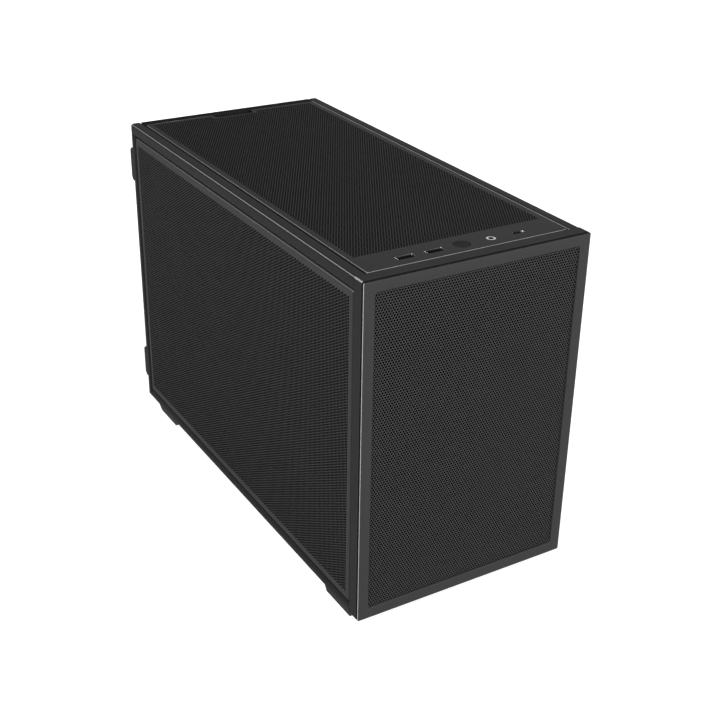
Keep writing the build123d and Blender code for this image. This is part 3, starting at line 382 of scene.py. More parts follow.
# Moulded ABS with a spark-eroded skin: soft sheen, even colour.
FOOT_PLASTIC = Finish("moulded_abs_foot", "1d1d1e", 0.55, 0.5)
BUTTON_PLASTIC = Finish("moulded_abs_button", "161617", 0.5, 0.5, specular=0.1, relief_mm=0.005)
SOCKET_PLASTIC = Finish("moulded_nylon_socket", "060606", 0.6, 0.6, specular=0.05)
INLET_PLASTIC = Finish("moulded_polyamide_inlet", "151516", 0.45, 0.6)
CATCH_PLASTIC = Finish("moulded_acetal_catch", "18181a", 0.4, 0.6)
# Moulded rubber: dull and slightly dusty grey.
PAD_RUBBER = Finish("moulded_rubber_pad", "2b2b2b", 0.85, 0.9, mottle=0.2, relief_mm=0.03)
# Stamped steel with nickel plating: fine drawing lines. The dark base colour is painted shade
# for the inside of the mouth, and the two ends of the mouth get a painted highlight.
PAINTED_HIGHLIGHT_ENDS = EdgeTone(Facing.SIDEWAYS, 0.0, 1.01, 1.0, "f4f4f2", 0.22)
PORT_STEEL = Finish(
    "nickel_plated_stamped_steel",
    "2e2e2f",
    0.4,
    0.8,
    Grain.BRUSHED,
    metallic=1.0,
    mottle=0.05,
    relief_mm=0.002,
    edges=(PAINTED_HIGHLIGHT_ENDS,),
)
HOOK_STEEL = Finish("spring_steel_strip", "8f9092", 0.35, 0.4, Grain.BRUSHED, metallic=1.0)
RING_CHROME = Finish(
    "turned_chromed_brass", "d2d2d0", 0.16, 0.3, metallic=1.0, mottle=0.05, relief_mm=0.002
)
# Steel screws with black zinc: dark, with a faint metallic sheen.
SCREW_ZINC = Finish("black_zinc_steel", "2d2d2f", 0.35, 0.5, metallic=0.8)
PIN_BRASS = Finish("turned_brass_nickel_flash", "b7a56a", 0.3, 0.3, Grain.BRUSHED, metallic=1.0)
# Glass cloth and epoxy laminate under black solder mask: faint weave and some shine.
BOARD_MASK = Finish("epoxy_laminate_black_mask", "14231a", 0.35, 0.9, Grain.WEAVE, relief_mm=0.006)

NODE_FINISHES: dict[Finish, tuple[str, ...]] = {
    CHASSIS_COAT: ("front_chassis",),
    FRAME_COAT: (
        "side_frame_left", "side_frame_right", "rear_tabs", "base_tray",
        "main_board_tray", "supply_bracket", "io_bracket", "slot_pan",
        "slot_cover_1", "slot_cover_2", "slot_cover_3",
    ),
    REAR_COAT: ("rear_wall",),
    FRONT_COAT: ("front_frame",),
    MESH_COAT: ("front_mesh",),
    SIDE_COAT: ("left_panel", "right_panel"),
    ROOF_COAT: ("top_panel",),
    FILTER_CLOTH: ("front_filter", "left_filter", "right_filter", "top_filter", "base_filter"),
    FOOT_PLASTIC: ("foot_front_left", "foot_front_right", "foot_rear_left", "foot_rear_right"),
    PAD_RUBBER: ("foot_pads",),
    HOOK_STEEL: ("front_panel_hooks", "left_panel_hooks", "right_panel_hooks", "top_panel_hooks"),
    CATCH_PLASTIC: (
        "front_panel_catches", "left_panel_catches", "right_panel_catches", "top_panel_catches",
    ),
    SCREW_ZINC: ("slot_cover_screws", "mains_inlet_screws", "foot_screws"),
    INLET_PLASTIC: ("mains_inlet",),
    PIN_BRASS: ("mains_inlet_pins", "standoffs"),
    BOARD_MASK: ("io_board",),
    PORT_STEEL: ("usb_a_shell_outer", "usb_a_shell_inner", "usb_c_shell"),
    RING_CHROME: ("jack_ring",),
    SOCKET_PLASTIC: (
        "usb_a_tongues", "usb_c_tongue", "jack_body", "button_guide", "push_switch",
        "switch_plunger",
    ),
    BUTTON_PLASTIC: ("power_button",),
}


@dataclass(frozen=True)
class Face:
    """A flat face of the case: its own axes and the depth below it, in millimetres."""

    origin: Place
    across: Place
    up: Place

    def place(self, points: Loop, depth: float | Loop) -> np.ndarray:
        """Put points of the face into space.

        Args:
            points: places on the face, one row each.
            depth: how far below the face each point lies.

        Returns:
            The points in space, in millimetres.
        """
        across, up = np.array(self.across), np.array(self.up)
        outward = np.cross(across, up)
        below = np.broadcast_to(np.asarray(depth, dtype=float), len(points))
        flat = np.array(self.origin) + points[:, :1] * across + points[:, 1:] * up
        return flat - below[:, None] * outward


@dataclass
class Shell:
    """A mesh under construction, in millimetres."""

    points: list[np.ndarray] = field(default_factory=list)
    faces: list[list[int]] = field(default_factory=list)
    count: int = 0

    def add(self, points: np.ndarray) -> int:
        """Add points and return the number of the first one."""
        first = self.count
        self.points.append(points)
        self.count += len(points)
        return first

    def bridge(self, upper: np.ndarray, lower: np.ndarray) -> None:
        """Join two closed loops of as many points with a band that faces outwards.

        Args:
            upper: points of the loop nearer to the face.
            lower: points of the loop further out or further down.
        """
        a, b = self.add(upper), self.add(lower)
        size = len(upper)
        for at in range(size):
            following = (at + 1) % size
            self.faces.append([a + at, b + at, b + following, a + following])

    def skin(self, loops: list[np.ndarray]) -> None:
        """Join each of these loops to the next one."""
        for upper, lower in zip(loops, loops[1:]):
            self.bridge(upper, lower)

    def mesh(self, name: str) -> bpy.types.Mesh:
        """Turn what was added into a welded mesh in metres.

        Args:
            name: the mesh's name.

        Returns:
            The mesh, with smooth bends, sharp folds and flat sheet between them.
        """
        made = bpy.data.meshes.new(name)
        made.from_pydata((np.concatenate(self.points) * MM).tolist(), [], self.faces)
        work = bmesh.new()
        work.from_mesh(made)
        bmesh.ops.remove_doubles(work, verts=work.verts, dist=WELD)
        bmesh.ops.dissolve_degenerate(work, edges=work.edges, dist=WELD / 4)
        work.to_mesh(made)
        work.free()
        for polygon in made.polygons:
            polygon.use_smooth = max(abs(part) for part in polygon.normal) < LEVEL
        made.set_sharp_from_angle(angle=SMOOTH_ANGLE)
        return made


def show(
    name: str, mesh: bpy.types.Mesh, finish: Finish, body: str, slot: str, *stands_for: str
) -> None:
    """Put a finished mesh into the scene as one piece.

    Args:
        name: the piece's name.
        mesh: its mesh.
        finish: what it is made of.
        body: the CAD body that it moves with.
        slot: the record's material slot; not used.
        stands_for: the CAD nodes that it replaces.
    """
    piece = put(name, mesh)
    mesh.materials.clear()
    mesh.materials.append(finish.material())
    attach(piece, body)
    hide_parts(*stands_for)
    log.info("%s: %d faces", name, len(mesh.polygons))


def rounded_rectangle(low: Pair, high: Pair, radius: float, steps: int = 5) -> Loop:
    """Outline of a rectangle with round corners, counterclockwise.

    Args:
        low: its lower left corner.
        high: its upper right corner.
        radius: the corners' radius.
        steps: straight pieces in each corner.

    Returns:
        The outline's points.
    """
    centres = [
        (high[0] - radius, low[1] + radius, -1),
        (high[0] - radius, high[1] - radius, 0),
        (low[0] + radius, high[1] - radius, 1),
        (low[0] + radius, low[1] + radius, 2),
    ]
    points = [
        (x, y, (quarter + step / steps) * QUARTER_TURN)
        for x, y, quarter in centres
        for step in range(steps + 1)
    ]
    return np.array([(x + radius * math.cos(t), y + radius * math.sin(t)) for x, y, t in points])


def rectangle_about(middle: Pair, size: Pair, radius: float, steps: int) -> Loop:
    """Outline of a rectangle with round corners, given by its middle and its size."""
    (x, y), (across, up) = middle, (size[0] / 2, size[1] / 2)
    return rounded_rectangle((x - across, y - up), (x + across, y + up), radius, steps)


def quarter_round(steps: int) -> list[Pair]:
    """Points of a rolled edge of radius 1: how far inside the outline and below the face."""
    turns = [step / steps * QUARTER_TURN for step in range(steps + 1)]
    return [(1 - math.sin(turn), 1 - math.cos(turn)) for turn in turns]


def inward(loop: Loop) -> np.ndarray:
    """Directions that move each point of a counterclockwise loop inwards by one.

    Args:
        loop: the loop's points, all different from their neighbours.

    Returns:
        One direction for each point, longer at a corner so that the sides stay parallel.
    """
    before = loop - np.roll(loop, 1, axis=0)
    after = np.roll(loop, -1, axis=0) - loop
    left = [
        np.stack([-edge[:, 1], edge[:, 0]], axis=1) / np.linalg.norm(edge, axis=1)[:, None]
        for edge in (before, after)
    ]
    middle = left[0] + left[1]
    return 2 * middle / (middle**2).sum(axis=1)[:, None]


def inside(points: np.ndarray, loop: Loop) -> np.ndarray:
    """Which points lie inside a closed loop.

    Args:
        points: the points to test.
        loop: the loop.

    Returns:
        True for each point inside.
    """
    result = np.zeros(len(points), dtype=bool)
    x, y = points[:, 0], points[:, 1]
    for (x0, y0), (x1, y1) in zip(loop, np.roll(loop, -1, axis=0)):
        if y0 != y1:
            crosses = (y0 > y) != (y1 > y)
            result ^= crosses & (x < (x1 - x0) * (y - y0) / (y1 - y0) + x0)
    return result


def fill_between(shell: Shell, face: Face, outer: Loop, holes: list[Loop], depth: float) -> None:
    """Fill the flat area inside one loop and outside others.

    Args:
        shell: the mesh that gets the area.
        face: the face that it lies on.
        outer: the area's outline.
        holes: loops that stay open.
        depth: how far below the face the area lies.
    """
    loops = [outer, *holes]
    points = np.concatenate(loops)
    edges = []
    first = 0
    for loop in loops:
        size = len(loop)
        edges += [(first + at, first + (at + 1) % size) for at in range(size)]
        first += size
    flat, _, triangles, *_ = delaunay_2d_cdt([Vector(p) for p in points], edges, [], 0, 1e-7)
    flat = np.array([tuple(p) for p in flat])
    triangles = np.array(triangles)
    middles = flat[triangles].mean(axis=1)
    kept = inside(middles, outer)
    for loop in holes:
        kept &= ~inside(middles, loop)
    start = shell.add(face.place(flat, depth))
    shell.faces += (triangles[kept] + start).tolist()


def add_slab(shell: Shell, face: Face, outline: Loop, upper: float, lower: float) -> None:
    """Build a flat plate of this outline between two depths below the face."""
    for depth in (upper, lower):
        fill_between(shell, face, outline, [], depth)
    shell.bridge(face.place(outline, upper), face.place(outline, lower))


def nowhere(points: np.ndarray) -> np.ndarray:
    """Block none of these hole centres."""
    return np.zeros(len(points), dtype=bool)


@dataclass
class Perforation:
    """Round holes in staggered rows, drawn six-sided because each is under 2 mm."""

    hole: float
    pitch: float = 2.0
    wall: float = 0.0
    upright_rows: bool = False

    def indices(
        self, width: float, height: float, blocked: Blocker
    ) -> tuple[np.ndarray, np.ndarray]:
        """Lay out the holes of a field.

        Args:
            width: the field's size along the rows.
            height: its size across the rows.
            blocked: says which hole centres have to stay closed.

        Returns:
            The numbers of the holes by row and place, -1 where there is none, and the
            centres of the holes.
        """
        step = self.pitch * math.sqrt(3) / 2
        columns = int((width - self.hole) / self.pitch) + 1
        rows = int((height - self.hole) / step) + 1
        row, column = np.mgrid[0:rows, 0:columns]
        odd = row % 2
        x = (column - (columns - 1) / 2) * self.pitch + odd * self.pitch / 2
        y = (row - (rows - 1) / 2) * step
        centres = np.stack([x, y], axis=2).reshape(-1, 2)
        open_holes = (odd.ravel() == 0) | (column.ravel() < columns - 1)
        open_holes &= ~blocked(self.turned(centres))
        numbers = np.full(rows * columns, -1)
        numbers[open_holes] = np.arange(open_holes.sum())
        return numbers.reshape(rows, columns), centres[open_holes]

    def turned(self, points: np.ndarray) -> np.ndarray:
        """Points of the rows as points of the face."""
        if not self.upright_rows:
            return points
        return np.stack([-points[:, 1], points[:, 0]], axis=1)

    @staticmethod
    def neighbours(numbers: np.ndarray) -> list[np.ndarray]:
        """For each hole its six neighbours.

        Args:
            numbers: the numbers of the holes by row and place.

        Returns:
            Six arrays for the directions right, up right, up left, left, down left and
            down right, -1 where there is no hole.
        """
        rows, columns = numbers.shape
        padded = np.full((rows + 2, columns + 2), -1)
        padded[1:-1, 1:-1] = numbers
        row, column = np.mgrid[1 : rows + 1, 1 : columns + 1]
        odd = (row - 1) % 2
        real = numbers >= 0
        steps = ((0, 1), (1, odd), (1, odd - 1), (0, -1), (-1, odd - 1), (-1, odd))
        return [padded[row + up, column + side][real] for up, side in steps]

    def cut(
        self, shell: Shell, face: Face, middle: Pair, size: Pair, blocked: Blocker = nowhere
    ) -> list[Loop]:
        """Build the web between the holes.

        Args:
            shell: the mesh that gets the web.
            face: the face that it lies on.
            middle: the middle of the field on the face.
            size: the field's width and height on the face.
            blocked: says which hole centres, on the face, have to stay closed.

        Returns:
            The outlines of the web, for the plain margin around it.
        """
        along = size[::-1] if self.upright_rows else size
        numbers, centres = self.indices(*along, lambda p: blocked(p + np.array(middle)))
        angles = np.arange(HEXAGON) * math.pi / 3 + math.pi / 6
        same_area = math.sqrt(math.tau / (HEXAGON * math.sin(math.tau / HEXAGON)))
        corners = same_area * self.hole / 2 * np.stack([np.cos(angles), np.sin(angles)], axis=1)
        flat = (centres[:, None, :] + corners[None]).reshape(-1, 2)
        flat = self.turned(flat) + np.array(middle)
        start = shell.add(face.place(flat, 0.0))
        right, up_right, up_left, left, _, down_right = near = self.neighbours(numbers)
        own = np.arange(len(centres))

        def corner(hole: np.ndarray, number: int) -> np.ndarray:
            """Point numbers of one corner of each hole."""
            return hole * HEXAGON + number

        edges = []
        bridges = (
            (right, 5, 3, 2, 0, down_right, up_right),
            (up_right, 0, 4, 3, 1, right, up_left),
            (up_left, 1, 5, 4, 2, up_right, left),
        )
        for other, a, b, c, d, before, after in bridges:
            both = other >= 0
            quads = np.stack(
                [corner(own, a), corner(other, b), corner(other, c), corner(own, d)], axis=1
            )
            shell.faces += (quads[both] + start).tolist()
            edges += quads[both & (before < 0)][:, [0, 1]].tolist()
            edges += quads[both & (after < 0)][:, [2, 3]].tolist()
        for first, second, a, b, c in ((right, up_right, 0, 2, 4), (up_right, up_left, 1, 3, 5)):
            all_three = (first >= 0) & (second >= 0)
            triangles = np.stack([corner(own, a), corner(first, b), corner(second, c)], axis=1)
            shell.faces += (triangles[all_three] + start).tolist()
        for number, other in enumerate(near):
            previous = (number - 1) % HEXAGON
            open_edge = np.stack([corner(own, previous), corner(own, number)], axis=1)
            edges += open_edge[other < 0].tolist()
        if self.wall:
            self.walls(shell, face, flat, start)
        return self.outlines(edges, flat)

    def walls(self, shell: Shell, face: Face, flat: np.ndarray, start: int) -> None:
        """Give each hole its walls.

        Args:
            shell: the mesh that gets them.
            face: the face that the holes are in.
            flat: the corners of the holes.
            start: the number of the first corner in the mesh.
        """
        below = shell.add(face.place(flat, self.wall))
        number = np.arange(len(flat))
        following = np.where(number % HEXAGON == HEXAGON - 1, number - HEXAGON + 1, number + 1)
        quads = np.stack(
            [number + start, following + start, following + below, number + below], axis=1
        )
        shell.faces += quads.tolist()

    @staticmethod
    def outlines(edges: list[list[int]], flat: np.ndarray) -> list[Loop]:
        """Chain loose edges into closed loops.

        Args:
            edges: pairs of point numbers.
            flat: the points.

        Returns:
            The loops.
        """
        near: dict[int, list[int]] = {}
        for a, b in edges:
            near.setdefault(a, []).append(b)
            near.setdefault(b, []).append(a)
        loops = []
        left = set(near)
        while left:
            start = at = min(left)
            before = -1
            loop = []
            while True:
                loop.append(at)
                left.discard(at)
                choices = [n for n in near[at] if n != before]
                before, at = at, choices[0]
                if at == start:
                    break
            loops.append(flat[loop])
        return loops


@dataclass
class SheetEdge:
    """The rolled edge and the return of a folded sheet panel."""

    radius: float = 0.9
    sheet: float = 0.8
    fold: float = 7.0
    steps: int = 4
    ear_length: float = 16.0
    ear_height: float = 14.0
    ear_corner: float = 0.5

    def roll(
        self,
        shell: Shell,
        face: Face,
        outline: Loop,
        folds: np.ndarray | None = None,
        radii: np.ndarray | None = None,
    ) -> Loop:
        """Build the rolled edge and the return along a closed outline.

        Args:
            shell: the mesh that gets them.
            face: the face of the panel.
            outline: the panel's outer outline.
            folds: how deep the return is at each point.
            radii: the edge's radius at each point.

        Returns:
            The loop where the flat face begins.
        """
        folds = np.full(len(outline), self.fold) if folds is None else folds
        radii = np.full(len(outline), self.radius) if radii is None else radii
        direction = inward(outline)
        loops = [(radii * inset, radii * depth) for inset, depth in quarter_round(self.steps)]
        none, sheet = 0 * folds, 0 * folds + self.sheet
        loops += [(none, folds), (sheet, folds), (sheet, sheet)]
        shell.skin([face.place(outline + direction * i[:, None], depth) for i, depth in loops])
        return outline + direction * radii[:, None]

    def ears(self, shell: Shell, face: Face, low: Pair, high: Pair, size: Pair) -> None:
        """Build the ears that turn in from the return in the panel's four corners.

        Args:
            shell: the mesh that gets them.
            face: the face of the panel.
            low: the panel's lower left corner.
            high: its upper right corner.
            size: an ear's width and height.
        """
        for x in (low[0] + self.sheet, high[0] - self.sheet - size[0]):
            for y in (low[1] + self.sheet, high[1] - self.sheet - size[1]):
                ear = rounded_rectangle((x, y), (x + size[0], y + size[1]), self.ear_corner, 2)
                add_slab(shell, face, ear, self.fold - self.sheet, self.fold)


@dataclass
class FrontPanel:
    """The flat front frame and the perforated sheet behind it."""

    width: float = 167.0
    low: float = 5.0
    high: float = 247.0
    front: float = -181.25
    border: float = 8.0
    sheet: float = 1.2
    corner: float = 1.2
    opening_corner: float = 1.4
    edge: float = 0.45
    edge_steps: int = 4
    mesh_sheet: float = 0.6
    mesh_lap: float = 2.0
    mesh_margin: float = 1.0
    mesh_hole: float = 1.56
    notch: float = 2.2
    notch_margin: float = 1.1
    filter_x: float = 67.95
    filter_low: float = 26.05
    filter_high: float = 227.95
    filter_depth: float = 1.8
    filter_sheet: float = 0.5
    filter_corner: float = 0.2

    def face(self, depth: float) -> Face:
        """The front plane or one behind it."""
        return Face((0, self.front + depth, 0), (1, 0, 0), (0, 0, 1))

    def frame_mesh(self) -> bpy.types.Mesh:
        """Mesh of the front frame: a plate with soft edges round a large opening."""
        shell = Shell()
        half = self.width / 2
        outer = rounded_rectangle((-half, self.low), (half, self.high), self.corner)
        opening = rounded_rectangle(
            (-half + self.border, self.low + self.border),
            (half - self.border, self.high - self.border),
            self.opening_corner,
        )
        out, within = inward(outer), inward(opening)
        arc = quarter_round(self.edge_steps)
        section = [(self.edge * inset, self.edge * depth) for inset, depth in arc]
        loops = [(opening, self.sheet)]
        loops += [(opening - within * inset, depth) for inset, depth in reversed(section)]
        loops += [(outer + out * inset, depth) for inset, depth in section]
        loops += [(outer, self.sheet), (opening, self.sheet)]
        face = self.face(0)
        shell.skin([face.place(loop, depth) for loop, depth in loops])
        return shell.mesh("front_frame_plate")

    def sheet_mesh(self) -> bpy.types.Mesh:
        """Mesh of the perforated sheet, with the walls of its holes."""
        shell = Shell()
        half = self.width / 2 - self.border + self.mesh_lap
        low, high = self.low + self.border - self.mesh_lap, self.high - self.border + self.mesh_lap
        face = self.face(self.sheet)
        middle = (low + high) / 2
        inset, notch = self.mesh_margin, self.notch
        reach = notch + self.notch_margin

        def near_corner(points: np.ndarray) -> np.ndarray:
            """Centres that lie too near a cut corner of the sheet."""
            return (np.abs(points[:, 0]) > half - reach) & (
                np.abs(points[:, 1] - middle) > high - middle - reach
            )

        holes = Perforation(hole=self.mesh_hole, wall=self.mesh_sheet)
        size = 2 * (half - inset), high - low - 2 * inset
        loops = holes.cut(shell, face, (0, middle), size, near_corner)
        right, bottom, top = half - notch, low + notch, high - notch
        outline = np.array(
            [
                (right, low), (right, bottom), (half, bottom), (half, top), (right, top),
                (right, high), (-right, high), (-right, top), (-half, top), (-half, bottom),
                (-right, bottom), (-right, low),
            ]
        )
        fill_between(shell, face, outline, loops, 0)
        shell.bridge(face.place(outline, 0), face.place(outline, self.mesh_sheet))
        return shell.mesh("front_sheet")

    def filter_mesh(self) -> bpy.types.Mesh:
        """Mesh of the dust cloth, which fills the opening of the frame behind it."""
        shell = Shell()
        cloth = rounded_rectangle(
            (-self.filter_x, self.filter_low),
            (self.filter_x, self.filter_high),
            self.filter_corner,
            2,
        )
        add_slab(shell, self.face(self.filter_depth), cloth, 0, self.filter_sheet)
        return shell.mesh("front_cloth")

    def build(self) -> None:
        """Build and dress the front panel."""
        pieces = (
            ("front_frame_plate", self.frame_mesh(), FRONT_COAT, "front_paint", "front_frame"),
            ("front_perforated_sheet", self.sheet_mesh(), MESH_COAT, "front_paint", "front_mesh"),
            ("front_filter_cloth", self.filter_mesh(), FILTER_CLOTH, "filter_cloth", "front_filter"),
        )
        for name, mesh, finish, slot, node in pieces:
            show(name, mesh, finish, "front_panel", slot, node)


@dataclass
class SidePanel:
    """A perforated side panel with rolled edges and an ear in each corner."""

    side: Side
    half_width: float = 83.5
    front: float = -169.45
    back: float = 167.75
    low: float = 14.0
    high: float = 237.5
    corner: float = 1.6
    margin: float = 4.0
    hole: float = 1.56

    def face(self) -> Face:
        """The panel's outer face."""
        sign = self.side.value
        return Face((sign * self.half_width, 0, 0), (0, sign, 0), (0, 0, 1))

    def mesh(self) -> bpy.types.Mesh:
        """Mesh of the panel."""
        shell = Shell()
        face = self.face()
        ends = sorted((self.side.value * self.front, self.side.value * self.back))
        edge = SheetEdge()
        outline = rounded_rectangle((ends[0], self.low), (ends[1], self.high), self.corner)
        flat_edge = edge.roll(shell, face, outline)
        middle = (sum(ends) / 2, (self.low + self.high) / 2)
        size = ends[1] - ends[0] - 2 * self.margin, self.high - self.low - 2 * self.margin
        holes = Perforation(hole=self.hole, upright_rows=True)
        loops = holes.cut(shell, face, middle, size)
        fill_between(shell, face, flat_edge, loops, 0)
        low, high = (ends[0], self.low), (ends[1], self.high)
        edge.ears(shell, face, low, high, (edge.ear_length, edge.ear_height))
        return shell.mesh(f"{self.side.name.lower()}_side_sheet")

    def build(self) -> None:
        """Build and dress the panel."""
        name = self.side.name.lower()
        piece, body, node = f"{name}_perforated_panel", f"{name}_side_panel", f"{name}_panel"
        show(piece, self.mesh(), SIDE_COAT, body, "panel_paint", node)


@dataclass(frozen=True)
class StripHole:
    """A hole in the top panel's plain strip, round where its corner is half its width."""

    x: float
    length: float
    width: float
    corner: float
    steps: int

    def outline(self) -> Loop:
        """The hole's outline."""
        size = self.length, self.width
        return rectangle_about((self.x, SOCKET_ROW), size, self.corner, self.steps)


STRIP_HOLES = (
    StripHole(USB_A_OUTER_X, 13.5, 6.1, 0.5, 3),
    StripHole(USB_A_INNER_X, 13.5, 6.1, 0.5, 3),
    StripHole(BUTTON_X, 11.6, 11.6, 5.8 - ROUND_SLACK, 8),
    StripHole(JACK_X, 6.7, 6.7, 3.35 - ROUND_SLACK, 8),
    StripHole(USB_C_X, 9.7, 3.9, 1.9, 6),
)


@dataclass
class TopPanel:
    """The top panel: perforated, with a plain strip for the sockets and a finger notch."""

    half: float = 74.0
    front: float = -169.25
    back: float = 168.25
    roof: float = 247.0
    corner: float = 1.6
    margin: float = 4.0
    hole: float = 1.48
    field_front: float = -145.75
    notch_width: float = 34.5
    notch_depth: float = 7.5
    notch_corner: float = 2.5
    notch_steps: int = 6
    notch_edge: float = 0.15

    def outline(self, edge: SheetEdge) -> tuple[Loop, np.ndarray, np.ndarray]:
        """Outer outline with the notch in its rear edge.

        Args:
            edge: the panel's rolled edge.

        Returns:
            The outline, the depth of the return and the edge's radius at each point.
        """
        plain = rounded_rectangle((-self.half, self.front), (self.half, self.back), self.corner)
        per_corner = len(plain) // 4
        half, radius = self.notch_width / 2, self.notch_corner
        y = self.back - self.notch_depth + radius
        notch = [(half, self.back)]
        for x, start in ((half - radius, 0.0), (-half + radius, -QUARTER_TURN)):
            for step in range(self.notch_steps + 1):
                angle = start - step / self.notch_steps * QUARTER_TURN
                notch.append((x + radius * math.cos(angle), y + radius * math.sin(angle)))
        notch.append((-half, self.back))
        loop = np.concatenate([plain[: 2 * per_corner], np.array(notch), plain[2 * per_corner :]])
        folds = np.full(len(loop), edge.fold)
        radii = np.full(len(loop), edge.radius)
        cut = slice(2 * per_corner, 2 * per_corner + len(notch))
        folds[cut] = edge.sheet
        radii[cut] = self.notch_edge
        return loop, folds, radii

    def mesh(self) -> bpy.types.Mesh:
        """Mesh of the panel."""
        shell = Shell()
        face = Face((0, 0, self.roof), (1, 0, 0), (0, 1, 0))
        edge = SheetEdge()
        outline, folds, radii = self.outline(edge)
        flat_edge = edge.roll(shell, face, outline, folds, radii)
        field_back = self.back - self.margin

        def near_notch(points: np.ndarray) -> np.ndarray:
            """Centres that lie on the notch or its margin."""
            return (np.abs(points[:, 0]) < self.notch_width / 2 + self.margin / 2) & (
                points[:, 1] > self.back - self.notch_depth - self.margin / 2
            )

        middle = (0, (self.field_front + field_back) / 2)
        size = 2 * (self.half - self.margin), field_back - self.field_front
        loops = Perforation(hole=self.hole).cut(shell, face, middle, size, near_notch)
        holes = [hole.outline() for hole in STRIP_HOLES]
        fill_between(shell, face, flat_edge, loops + holes, 0)
        for loop in holes:
            shell.bridge(face.place(loop[::-1], 0), face.place(loop[::-1], edge.sheet))
        low, high = (-self.half, self.front), (self.half, self.back)
        edge.ears(shell, face, low, high, (edge.ear_height, edge.ear_length))
        return shell.mesh("top_sheet")

    def build(self) -> None:
        """Build and dress the panel."""
        mesh = self.mesh()
        show("top_perforated_panel", mesh, ROOF_COAT, "top_cover", "panel_paint", "top_panel")


@dataclass
class SocketShell:
    """The metal shell of a socket, with a mouth that is bevelled outside and flared inside."""

    node: str
    x: float
    length: float
    width: float
    wall: float
    corner: float
    depth: float
    top: float = 246.8
    foot: float = 230.6
    bevel: float = 0.2
    flare: float = 0.5
    least_corner: float = 0.1
    steps: int = 6

    def loop(self, inset: float) -> Loop:
        """The shell's outline, moved inwards."""
        size = self.length - 2 * inset, self.width - 2 * inset
        corner = max(self.corner - inset, self.least_corner)
        return rectangle_about((self.x, SOCKET_ROW), size, corner, self.steps)

    def build(self) -> None:
        """Build and dress the shell."""
        shell = Shell()
        face = Face((0, 0, self.top), (1, 0, 0), (0, 1, 0))
        height = self.top - self.foot
        rings = (
            (self.wall, self.depth),
            (self.wall, self.flare),
            (self.bevel, 0.0),
            (0.0, self.bevel),
            (0.0, height),
        )
        shell.skin([face.place(self.loop(inset), depth) for inset, depth in rings])
        fill_between(shell, face, self.loop(self.wall), [], self.depth)
        fill_between(shell, face, self.loop(0.0), [], height)
        name = f"{self.node}_flared"
        show(name, shell.mesh(name), PORT_STEEL, "chassis", "port_steel", self.node)


SOCKET_SHELLS = (
    SocketShell("usb_a_shell_outer", USB_A_OUTER_X, 13.1, 5.7, 0.4, 0.4, 12.0),
    SocketShell("usb_a_shell_inner", USB_A_INNER_X, 13.1, 5.7, 0.4, 0.4, 12.0),
    SocketShell("usb_c_shell", USB_C_X, 9.3, 3.5, 0.35, 1.7, 7.0),
)


@dataclass(frozen=True)
class SoftBox:
    """A square lamp: where it hangs, what it points at, its side length and its power."""

    name: str
    place: Place
    target: Place
    size: float
    watts: float

    def hang(self) -> None:
        """Put the lamp into the scene."""
        data = bpy.data.lights.new(self.name, "AREA")
        data.size = self.size
        data.energy = self.watts
        made = put(self.name, data)
        made.location = self.place
        aim = Vector(self.target) - Vector(self.place)
        made.rotation_euler = aim.to_track_quat("-Z", "Y").to_euler()


# Places that the lamps point at, in metres: the middle of the case, its roof, and level
# with the low lamps, which don't reach the roof.
BODY_MIDDLE = (0.0, 0.0, 0.12)
ROOF_MIDDLE = (0.0, 0.0, 0.24)
LOW_MIDDLE = (0.0, 0.0, 0.11)
SOFT_BOXES = (
    SoftBox("front_box", (0.9, -2.4, 0.9), BODY_MIDDLE, 1.2, 50.0),
    SoftBox("left_box", (-1.0, -0.45, 0.7), BODY_MIDDLE, 0.6, 8.0),
    SoftBox("edge_box", (1.2, -1.18, 2.1), BODY_MIDDLE, 0.8, 15.0),
    SoftBox("rear_box", (-1.13, 1.9, 1.27), BODY_MIDDLE, 0.8, 7.0),
    SoftBox("metal_glint", (0.93, 1.03, 0.83), ROOF_MIDDLE, 0.5, 0.35),
    SoftBox("rear_fill", (0.5, 2.4, 0.11), LOW_MIDDLE, 0.25, 60.0),
    SoftBox("right_fill", (2.0, 0.3, 0.11), LOW_MIDDLE, 0.25, 15.0),
)


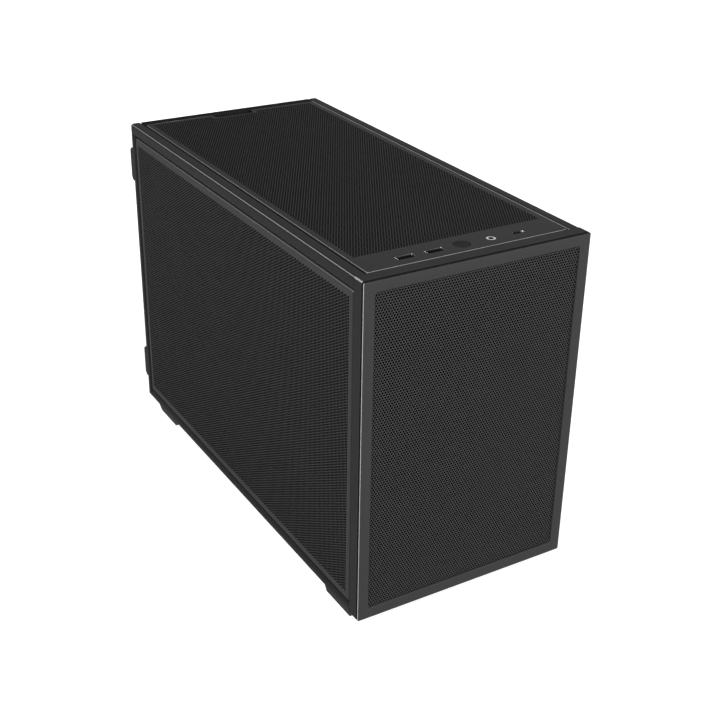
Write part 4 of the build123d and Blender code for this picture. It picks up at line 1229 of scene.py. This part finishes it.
@dataclass
class Studio:
    """Floor, backdrop, lamps and camera."""

    place: Place = (-0.4220, -0.73915, 0.5305)
    forward: Place = (0.46064, 0.76264, -0.45407)
    right: Place = (0.85994, -0.51016, 0.01555)
    lens: float = 62.50
    sensor: float = 36.0
    floor_size: float = 12.0
    floor_tones: tuple[str, str] = ("b4b4b4", "bababa")
    floor_grain: float = 120.0
    floor_roughness: float = 0.9
    floor_glow: float = 0.85
    floor_mirrored: float = 0.3
    backdrop_dim: float = 0.22
    backdrop_mirrored: float = 0.15

    def camera(self) -> None:
        """Put the camera where the photograph was taken from."""
        data = bpy.data.cameras.new("photo_camera")
        data.lens = self.lens
        data.sensor_width = self.sensor
        data.clip_start = 0.01
        made = put("photo_camera", data)
        back = -Vector(self.forward).normalized()
        right = Vector(self.right)
        right = (right - back * right.dot(back)).normalized()
        up = back.cross(right)
        rotation = Matrix((right, up, back)).transposed()
        made.matrix_world = Matrix.Translation(self.place) @ rotation.to_4x4()
        bpy.context.scene.camera = made

    def floor(self) -> None:
        """Lay the pale floor, which still shows the case's shadow."""
        half = self.floor_size / 2
        corners = [(-half, -half, 0), (half, -half, 0), (half, half, 0), (-half, half, 0)]
        mesh = bpy.data.meshes.new("floor")
        mesh.from_pydata(corners, [], [(0, 1, 2, 3)])
        made = bpy.data.materials.new("painted_studio_floor")
        tree = cleared_tree(made)
        coordinates = add_node(tree, "ShaderNodeTexCoord").outputs["Object"]
        grain = noise(tree, coordinates, self.floor_grain, 2.0)
        tint = mix(tree, "RGBA", grain, *(srgb(tone) for tone in self.floor_tones))
        rays = add_node(tree, "ShaderNodeLightPath").outputs
        mirrored = combine(tree, "MULTIPLY", rays["Is Glossy Ray"], self.floor_mirrored)
        seen = combine(tree, "MAXIMUM", rays["Is Camera Ray"], mirrored)
        inputs = {
            "Base Color": tint,
            "Roughness": self.floor_roughness,
            "Emission Color": WHITE,
            "Emission Strength": combine(tree, "MULTIPLY", seen, self.floor_glow),
        }
        add_surface(tree, inputs)
        mesh.materials.append(made)
        piece = put("floor", mesh)

    def world(self) -> None:
        """Surround the case with soft light and a white backdrop."""
        made = bpy.data.worlds.new("studio_world")
        bpy.context.scene.world = made
        tree = cleared_tree(made)
        rays = add_node(tree, "ShaderNodeLightPath").outputs
        mirrored = combine(tree, "MULTIPLY", rays["Is Glossy Ray"], self.backdrop_mirrored)
        seen = combine(tree, "MAXIMUM", rays["Is Camera Ray"], rays["Is Transmission Ray"])
        seen = combine(tree, "MAXIMUM", seen, mirrored)
        strength = stretch(tree, seen, (0.0, 1.0), (self.backdrop_dim, 1.0))
        inputs = {"Color": WHITE, "Strength": strength}
        background = add_node(tree, "ShaderNodeBackground", None, inputs)
        add_node(tree, "ShaderNodeOutputWorld", None, {"Surface": background.outputs[0]})

    def build(self) -> None:
        """Build the studio."""
        self.camera()
        self.floor()
        self.world()
        for soft_box in SOFT_BOXES:
            soft_box.hang()
        bpy.context.scene.view_settings.view_transform = "Standard"


def dress_nodes() -> None:
    """Give every CAD node the material of its real piece."""
    for finish, names in NODE_FINISHES.items():
        for name in names:
            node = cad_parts[name]
            if not node.material_slots:
                node.data.materials.append(finish.material())
            for slot in node.material_slots:
                slot.material = finish.material()


def main() -> None:
    """Build the case piece by piece."""
    logging.basicConfig(level=logging.INFO, format="%(message)s")
    dress_nodes()
    Studio().build()
    FrontPanel().build()
    for side in Side:
        SidePanel(side).build()
    TopPanel().build()
    for socket_shell in SOCKET_SHELLS:
        socket_shell.build()


if __name__ == "__main__":
    main()
